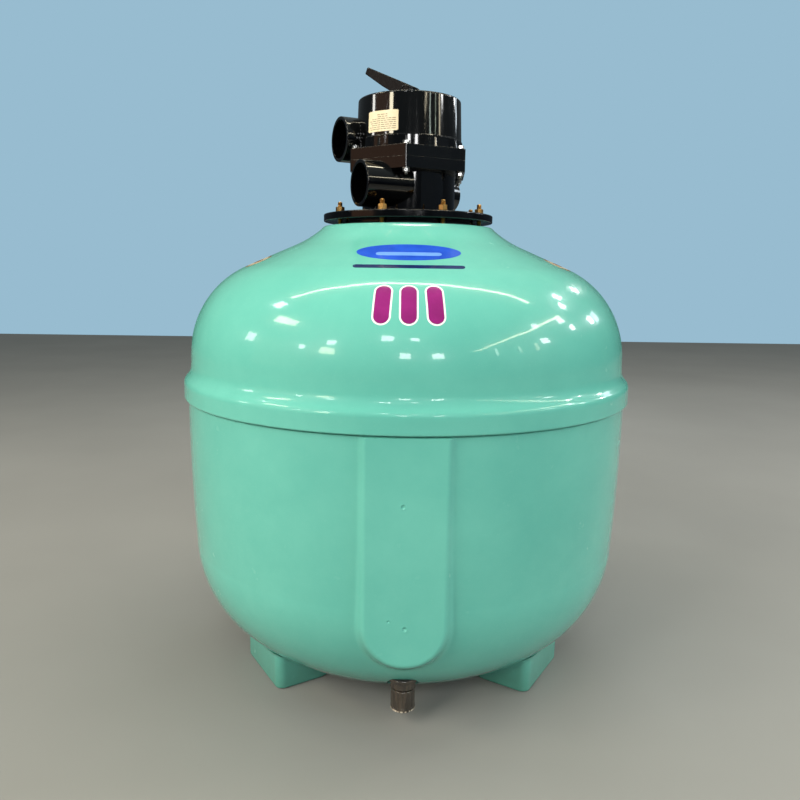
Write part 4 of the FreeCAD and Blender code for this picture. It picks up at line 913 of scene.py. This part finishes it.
def make_foot(label, turn, lean):
    """A foot with rounded corners and a small fillet under the shell."""
    corner = FOOT_ROUND
    ring = outline([
        (FOOT_INNER, -FOOT_HALF + corner),
        (FOOT_INNER + corner, -FOOT_HALF, corner, 1),
        (FOOT_OUTER - corner, -FOOT_HALF),
        (FOOT_OUTER, -FOOT_HALF + corner, corner, 1),
        (FOOT_OUTER, FOOT_HALF - corner),
        (FOOT_OUTER - corner, FOOT_HALF, corner, 1),
        (FOOT_INNER + corner, FOOT_HALF),
        (FOOT_INNER, FOOT_HALF - corner, corner, 1),
        (FOOT_INNER, -FOOT_HALF + corner),
    ], OUTSIDE_STEP)[:-1]
    middle = Vector(((FOOT_INNER + FOOT_OUTER) / 2, 0))
    half = Vector(((FOOT_OUTER - FOOT_INNER) / 2, FOOT_HALF))
    bm = bmesh.new()
    rows = []
    for share in FOOT_SHARES:
        row = []
        for across, aside in ring:
            away = Vector((across, aside)) - middle
            top = underside(math.hypot(across, aside + lean)) + FOOT_SINK
            up = top * share
            under = max(FOOT_EDGE - up, 0)
            inset = FOOT_EDGE - math.sqrt(max(FOOT_EDGE ** 2 - under ** 2, 0))
            close = max(up - (top - FILLET_TALL), 0) / FILLET_TALL
            flare = FILLET_OUT * close ** FILLET_POWER
            scale = Vector(((half.x - inset + flare) / half.x, (half.y - inset + flare) / half.y))
            placed = middle + Vector((away.x * scale.x, away.y * scale.y))
            row.append(Matrix.Rotation(turn, 3, "Z") @ Vector((placed.x, placed.y + lean, up)))
        rows.append(row)
    add_capped(bm, rows)
    foot = new_object(label + "_moulding", bm, GEL_COAT)
    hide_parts(label)


def make_feet():
    """Four feet, each a little to one side of the line that it faces along."""
    make_foot("back_right_foot", FOOT_TURN, FOOT_ASIDE)
    make_foot("back_left_foot", math.pi - FOOT_TURN, -FOOT_ASIDE)
    make_foot("front_left_foot", math.pi + FOOT_TURN, FOOT_ASIDE)
    make_foot("front_right_foot", -FOOT_TURN, -FOOT_ASIDE)


# ------------ neck joint

def make_neck_fasteners():
    """Threaded studs round the plate, and their chamfered nuts."""
    places = list(around(STUD_COUNT, STUD_FIRST, STUD_CIRCLE))
    low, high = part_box("neck_studs")
    studs = repeated("threaded_neck_studs",
                     lambda bm: add_thread(bm, STUD_RADIUS, STUD_PITCH, low.z, high.z), places, ZINC)
    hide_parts("neck_studs")
    low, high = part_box("neck_nuts")
    nuts = repeated("chamfered_neck_nuts",
                    lambda bm: add_hexagon(bm, NECK_NUT_HALF, NECK_NUT_BORE, low.z, high.z), places, ZINC)
    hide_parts("neck_nuts")


def make_flange_fasteners():
    """Bolts with chamfered heads, and their nuts, round the hexagonal flange."""
    places = list(around(BOLT_COUNT, VALVE_TURN, BOLT_CIRCLE))
    low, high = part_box("flange_bolts")
    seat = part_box("flange_top_washers")[1].z

    def bolt(bm):
        add_hexagon(bm, BOLT_HEX_HALF, 0, seat, high.z, (False, True))
        add_thread(bm, BOLT_RADIUS, BOLT_PITCH, low.z, seat + BOLT_SINK)

    bolts = repeated("chamfered_flange_bolts", bolt, places, STEEL)
    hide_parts("flange_bolts")
    low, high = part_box("flange_nuts")
    nuts = repeated("chamfered_flange_nuts",
                    lambda bm: add_hexagon(bm, BOLT_HEX_HALF, FLANGE_NUT_BORE, low.z, high.z), places, STEEL)
    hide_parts("flange_nuts")


# ------------ handle hub and drain

def make_hub_rings():
    """Raised rings round both ends of the handle's pin."""
    low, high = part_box("handle_pin")
    centre = (low + high) / 2
    line = [
        (RING_BORE, -RING_SINK),
        (RING_BORE, RING_PROUD - RING_BEVEL_IN),
        (RING_BORE + RING_BEVEL_IN, RING_PROUD),
        (RING_OUT - RING_BEVEL_OUT, RING_PROUD),
        (RING_OUT, RING_PROUD - RING_BEVEL_OUT),
        (RING_OUT, -RING_SINK),
    ]
    places = []
    for side in (-1, 1):
        facing = Vector((-math.sin(HANDLE_TURN), math.cos(HANDLE_TURN), 0)) * side
        turned = facing.to_track_quat("Z", "Y").to_matrix().to_4x4()
        places.append(Matrix.Translation(centre + facing * HANDLE_HALF) @ turned)
    rings = repeated("handle_hub_rings", lambda bm: add_turned(bm, line, RING_POINTS),
                     places, HANDLE_BLACK, "handle")


def make_drain_collar():
    """Collar with a rounded rim above a chamfered hexagon."""
    low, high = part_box("drain_collar")

    def build(bm):
        add_turned(bm, [
            (COLLAR_BORE, high.z),
            (COLLAR_OUT - COLLAR_EDGE, high.z),
            (COLLAR_OUT, high.z - COLLAR_EDGE),
            (COLLAR_OUT, COLLAR_LOW + COLLAR_ROUND),
            (COLLAR_OUT - COLLAR_ROUND_MIDDLE, COLLAR_LOW + COLLAR_ROUND_MIDDLE),
            (COLLAR_OUT - COLLAR_ROUND, COLLAR_LOW),
            (COLLAR_BORE, COLLAR_LOW),
        ], ROUND_POINTS)
        add_hexagon(bm, COLLAR_HEX, COLLAR_BORE, low.z, COLLAR_LOW - COLLAR_GAP, (True, False))

    collar = repeated("shaped_drain_collar", build, [Matrix.Translation(DRAIN)], DRAIN_DARK)
    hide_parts("drain_collar")


# ------------ films on the dome

DOME_LINE = [point for point in outline(upper_outside(), 0.001)
             if DOME_START <= point[1] <= NECK_TOP - 0.006]


def along_dome(up, shift):
    """The point of the dome's outline a distance further up it than a height, and its outward way."""
    index = min(range(len(DOME_LINE)), key=lambda place: abs(DOME_LINE[place][1] - up))
    here = Vector(DOME_LINE[index])
    step = 1 if shift > 0 else -1
    left = abs(shift)
    while left > 0:
        gap = math.dist(DOME_LINE[index], DOME_LINE[index + step])
        share = min(left / gap, 1)
        here = Vector(DOME_LINE[index]).lerp(Vector(DOME_LINE[index + step]), share)
        left -= gap
        index += step
    slope = Vector(DOME_LINE[index + 1]) - Vector(DOME_LINE[index - 1])
    return here, Vector((slope.y, -slope.x)).normalized()


def film_on_dome(name, swing, up, edge, material, lift):
    """A thin film laid on the dome; its edge is given as (aside, upward)."""
    bm = bmesh.new()
    rows = []
    shares = [1, 1] + [1 - index / FILM_LOOPS for index in range(1, FILM_LOOPS)]
    for number, share in enumerate(shares):
        row = []
        for aside, upward in edge:
            (across, height), outward = along_dome(up, upward * share)
            turn = swing + aside * share / across
            rise = -FILM_SINK if number == 0 else lift
            row.append(dome_point(turn, across, height) + from_front(outward.x, turn, outward.y) * rise)
        rows.append(row)
    made = add_grid(bm, rows, close_across=True)
    add_cap(bm, made[-1])
    film = new_object(name, bm, material)


def oval(half, tall):
    """Edge of an oval."""
    return [(half * math.cos(turn), tall * math.sin(turn)) for turn in full_turn(FILM_POINTS)]


def capsule(half, tall):
    """Edge of an upright or lying bar with round ends."""
    edge = []
    radius = min(half, tall)
    for index in range(FILM_POINTS):
        turn = 2 * math.pi * (index + 0.5) / FILM_POINTS
        aside = math.copysign(max(half - radius, 0), math.cos(turn)) + radius * math.cos(turn)
        upward = math.copysign(max(tall - radius, 0), math.sin(turn)) + radius * math.sin(turn)
        edge.append((aside, upward))
    return refined(edge, FILM_EDGE_STEP)


def refined(edge, step):
    """The same closed edge with its long runs divided."""
    points = []
    for index, point in enumerate(edge):
        after = edge[(index + 1) % len(edge)]
        count = max(math.ceil(math.dist(point, after) / step), 1)
        points += [between(point, after, part / count) for part in range(count)]
    return points


def make_dome_films():
    """Plain generic graphics: an oval, two bars and three capsules, and ovals at the sides."""
    film_on_dome("blue_oval_film", 0, 0.6975, oval(0.078, 0.030), FILM_BLUE, FIRST_LAYER)
    film_on_dome("pale_bar_film", 0, 0.6945, capsule(0.048, 0.0060), FILM_PALE, SECOND_LAYER)
    film_on_dome("dark_bar_film", 0, 0.6765, capsule(0.080, 0.0055), FILM_NAVY, FIRST_LAYER)
    for number, aside in enumerate(CAPSULE_PLACES):
        swing = aside / CAPSULE_RADIUS
        white = capsule(0.0128, 0.0325)
        magenta = capsule(0.0104, 0.0301)
        film_on_dome("white_capsule_%d" % number, swing, CAPSULE_UP, white, FILM_WHITE, FIRST_LAYER)
        film_on_dome("magenta_capsule_%d" % number, swing, CAPSULE_UP, magenta, FILM_MAGENTA, SECOND_LAYER)
    for side, swing in (("left", -SIDE_FILM_SWING), ("right", SIDE_FILM_SWING)):
        film_on_dome("tan_oval_" + side, swing, SIDE_FILM_UP, oval(0.024, 0.0235), FILM_TAN, FIRST_LAYER)
        film_on_dome("cream_oval_" + side, swing, SIDE_FILM_UP, oval(0.019, 0.0185), FILM_CREAM, SECOND_LAYER)
        film_on_dome("tan_spot_" + side, swing, SIDE_FILM_UP, oval(0.011, 0.0085), FILM_TAN, THIRD_LAYER)


# ------------ data label

def drum_radius(up):
    """Radius of the drum's drafted side at a height."""
    return DRUM_LOW - (DRUM_LOW - DRUM_HIGH) * (up - BAND_TOP) / (DRUM_TOP - BAND_TOP)


def add_drum_patch(bm, near, far, low, high, back, front, corner=0.0):
    """A thin curved sheet on the drum, between two angles, two heights and two depths."""
    steps = max(round((far - near) / DRUM_STEP), 2)
    faces = []
    for depth in (back, front):
        sheet = []
        for index in range(steps + 1):
            turn = near + (far - near) * index / steps
            beside = min(turn - near, far - turn) * drum_radius(low)
            trim = 0.0
            if beside < corner:
                trim = corner - math.sqrt(corner ** 2 - (corner - beside) ** 2)
            column = []
            for up in (low + trim, (low + high) / 2, high - trim):
                radius = drum_radius(up) + depth
                column.append((-radius * math.sin(turn), -radius * math.cos(turn), up))
            sheet.append(column)
        faces.append(add_grid(bm, sheet))
    rims = []
    for columns in faces:
        lows = [column[0] for column in columns]
        highs = [column[-1] for column in reversed(columns)]
        rims.append(lows + [columns[-1][1]] + highs + [columns[0][1]])
    back_rim, front_rim = rims
    for index, vert in enumerate(back_rim):
        after = (index + 1) % len(back_rim)
        bm.faces.new((vert, back_rim[after], front_rim[after], front_rim[index]))


def make_label():
    """Cream label with rows of plain dashes where the print would be."""
    low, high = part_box("data_label")
    bm = bmesh.new()
    add_drum_patch(bm, LABEL_NEAR, LABEL_FAR, low.z, high.z, LABEL_BACK, LABEL_FACE, LABEL_CORNER)
    label = new_object("label_sheet", bm, LABEL_CREAM)
    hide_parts("data_label")
    bm = bmesh.new()
    near = LABEL_NEAR + LABEL_MARGIN
    far = LABEL_FAR - LABEL_MARGIN
    for row in range(LINE_COUNT):
        up = high.z - LINE_FIRST - row * LINE_GAP
        heading = row < HEADING_LINES
        start = near + (HEADING_INSET if heading else 0.0) * (far - near)
        stop = far - (HEADING_INSET if heading else LINE_RAGGED * (row % 3)) * (far - near)
        turn = start
        dash = 0
        while turn < stop - DASH_LEAST:
            length = math.radians(DASH_SHORT + DASH_MORE * ((row * 5 + dash * 3) % 4) / 3)
            end = min(turn + length, stop)
            add_drum_patch(bm, turn, end, up - LINE_HALF, up + LINE_HALF, INK_BACK, INK_FACE)
            turn = end + DASH_GAP
            dash += 1
    lines = new_object("label_lines", bm, INK)


# ------------ build

finish_cad_nodes()
make_lower_shell()
make_upper_shell()
make_feet()
make_neck_fasteners()
make_flange_fasteners()
make_hub_rings()
make_drain_collar()
make_dome_films()
make_label()


# ------------ floor, light, camera

FLOOR_HALF = 6.0
WHITE = (1, 1, 1)
WARM = (1.0, 0.90, 0.66)
COOL = (0.82, 0.92, 1.0)
CEILING = 3.0
SPOT_RADIANCE = 32.0
WALL_AWAY = 9.0
STRIP_UP = 15.6
STRIP_TALL = 6.0
CAMERA_PLACE = (-0.010, -1.265, 0.667)
CAMERA_DOWN = math.radians(10.23)
CAMERA_ROLL = math.radians(0.75)
CAMERA_SENSOR = 36
CAMERA_LENS = 31.56

# small lamps as (across, away, up, size)
SPOTS = (
    (-2.6, 0.0, 3.0, 0.3), (-3.25, -4.07, 3.0, 0.45), (-2.6, -2.06, 1.6, 0.2),
    (-0.7, -3.8, 3.0, 0.4), (0.3, -4.0, 3.0, 0.25), (-0.04, -2.76, 1.32, 0.25),
    (0.66, -2.68, 1.30, 0.25), (2.8, 1.4, 3.0, 0.3), (3.35, 1.1, 3.0, 0.3),
    (4.2, 0.3, 3.0, 0.3), (3.3, 3.5, 3.0, 0.3), (6.2, 3.1, 3.0, 0.5),
    (3.6, -1.0, 3.0, 0.25), (5.7, 0.8, 3.0, 0.4), (6.1, -1.7, 3.0, 0.5),
)

# strips on the walls as (name, angle from the front, width, radiance, colour), angles in degrees
STRIPS = (
    ("strip_left", -86, 6.0, 18.0, (1.0, 0.97, 0.9)),
    ("strip_warm", -40, 8.0, 24.0, WARM),
    ("strip_front", 45, 1.6, 16.0, (0.85, 1.0, 0.9)),
    ("strip_thin", 58, 1.0, 12.0, (0.85, 1.0, 0.8)),
    ("strip_right", 68, 2.6, 11.0, WARM),
    ("strip_far", 124, 5.0, 7.0, COOL),
)


def make_floor():
    """Plain pale floor."""
    bm = bmesh.new()
    half = FLOOR_HALF
    add_grid(bm, [[(-half, -half, 0), (half, -half, 0)], [(-half, half, 0), (half, half, 0)]])
    floor = in_scene("floor", bm)
    material, tree, shader, place = blank("floor_pale")
    cloud = spread(tree, noise_of(tree, place, scale=1.6), 0.3, 0.7)
    grey = mixed(tree, cloud, tone(126, 125, 122), tone(132, 131, 128))
    dress(tree, shader, {"Base Color": grey, "Roughness": 0.6})
    floor.data.materials.append(material)


def lamp(name, place, aim, size, radiance, colour=WHITE, tall=None, shines=True):
    """A rectangular lamp that faces a point; it may stay out of reflections."""
    light = bpy.data.lights.new(name, "AREA")
    light.shape = "RECTANGLE"
    light.size = size
    light.size_y = tall or size
    light.energy = radiance * math.pi * size * (tall or size)
    light.color = colour
    item = bpy.data.objects.new(name, light)
    item.location = place
    item.rotation_euler = (Vector(aim) - Vector(place)).to_track_quat("-Z", "Y").to_euler()
    item.visible_camera = False
    item.visible_glossy = shines
    bpy.context.scene.collection.objects.link(item)


def wall_lamp(name, turn, up, wide, tall, radiance, colour):
    """A lamp far off, with its place and its size as angles seen from the drum, in degrees."""
    side = math.radians(turn)
    drum = Vector((0, 0, (BAND_TOP + DRUM_TOP) / 2))
    place = drum + WALL_AWAY * Vector((math.sin(side), -math.cos(side), math.tan(math.radians(up))))
    lamp(name, place, drum, WALL_AWAY * math.radians(wide), radiance, colour,
         WALL_AWAY * math.radians(tall))


def make_world():
    """Pale studio: brighter overhead than at the horizon, and one plain tone where it shows."""
    world = bpy.data.worlds.new("studio")
    world.use_nodes = True
    bpy.context.scene.world = world
    tree = world.node_tree
    way = node(tree, "ShaderNodeTexCoord").outputs["Generated"]
    sky = mixed(tree, spread(tree, height_of(tree, way), 0.05, 0.9), tone(44, 54, 66), tone(182, 194, 194))
    light = tree.nodes["Background"]
    dress(tree, light, {"Color": sky, "Strength": 0.8})
    plain = node(tree, "ShaderNodeBackground", {"Color": tone(152, 188, 208), "Strength": 1.0})
    shown = node(tree, "ShaderNodeLightPath").outputs["Is Camera Ray"]
    choice = node(tree, "ShaderNodeMixShader", {0: shown, 1: light.outputs[0], 2: plain.outputs[0]})
    tree.links.new(choice.outputs[0], tree.nodes["World Output"].inputs["Surface"])


def make_lights():
    """Soft lamps that only shade, and others that show in the gloss."""
    middle = (0, 0, 0.5)
    lamp("key", (-2.55, -1.95, 2.1), middle, 1.8, 8.9, (1.0, 0.95, 0.84), shines=False)
    lamp("fill", (2.7, -1.5, 1.3), middle, 1.6, 3.0, (0.76, 0.91, 1.0), shines=False)
    lamp("back", (0.6, 2.4, 2.2), middle, 1.6, 2.4, COOL, shines=False)
    lamp("tube_over", (0.1, 0.1, CEILING), (0.1, 0.1, 0), 4.4, 30.0, WARM, 0.11)
    lamp("tube_right", (3.8, -2.7, CEILING), (3.8, -2.7, 0), 0.2, 28.0, WARM, 6.4)
    lamp("panel_left", (-3.3, -1.1, CEILING), middle, 1.0, 26.0, WARM, 0.36)
    for index, (across, away, up, size) in enumerate(SPOTS):
        lamp("spot_%d" % index, (across, away, up), middle, size, SPOT_RADIANCE)
    for name, turn, wide, radiance, colour in STRIPS:
        wall_lamp(name, turn, STRIP_UP, wide, STRIP_TALL, radiance, colour)
    wall_lamp("wall_left", -63, 8.0, 36.0, 22.0, 0.50, (1.0, 0.50, 0.26))
    wall_lamp("wall_right", 62, 7.0, 70.0, 8.0, 0.09, (0.62, 0.82, 1.0))


def make_camera():
    """Camera in front of the tank, level with its dome and looking slightly down."""
    data = bpy.data.cameras.new("camera")
    data.sensor_width = CAMERA_SENSOR
    data.lens = CAMERA_LENS
    camera = bpy.data.objects.new("camera", data)
    bpy.context.scene.collection.objects.link(camera)
    turn = Matrix.Rotation(math.pi / 2 - CAMERA_DOWN, 4, "X") @ Matrix.Rotation(CAMERA_ROLL, 4, "Z")
    camera.matrix_world = Matrix.Translation(CAMERA_PLACE) @ turn
    data.clip_start = 0.05
    data.clip_end = 60
    bpy.context.scene.camera = camera


make_floor()
make_world()
make_lights()
make_camera()
bpy.context.scene.view_settings.view_transform = "Standard"
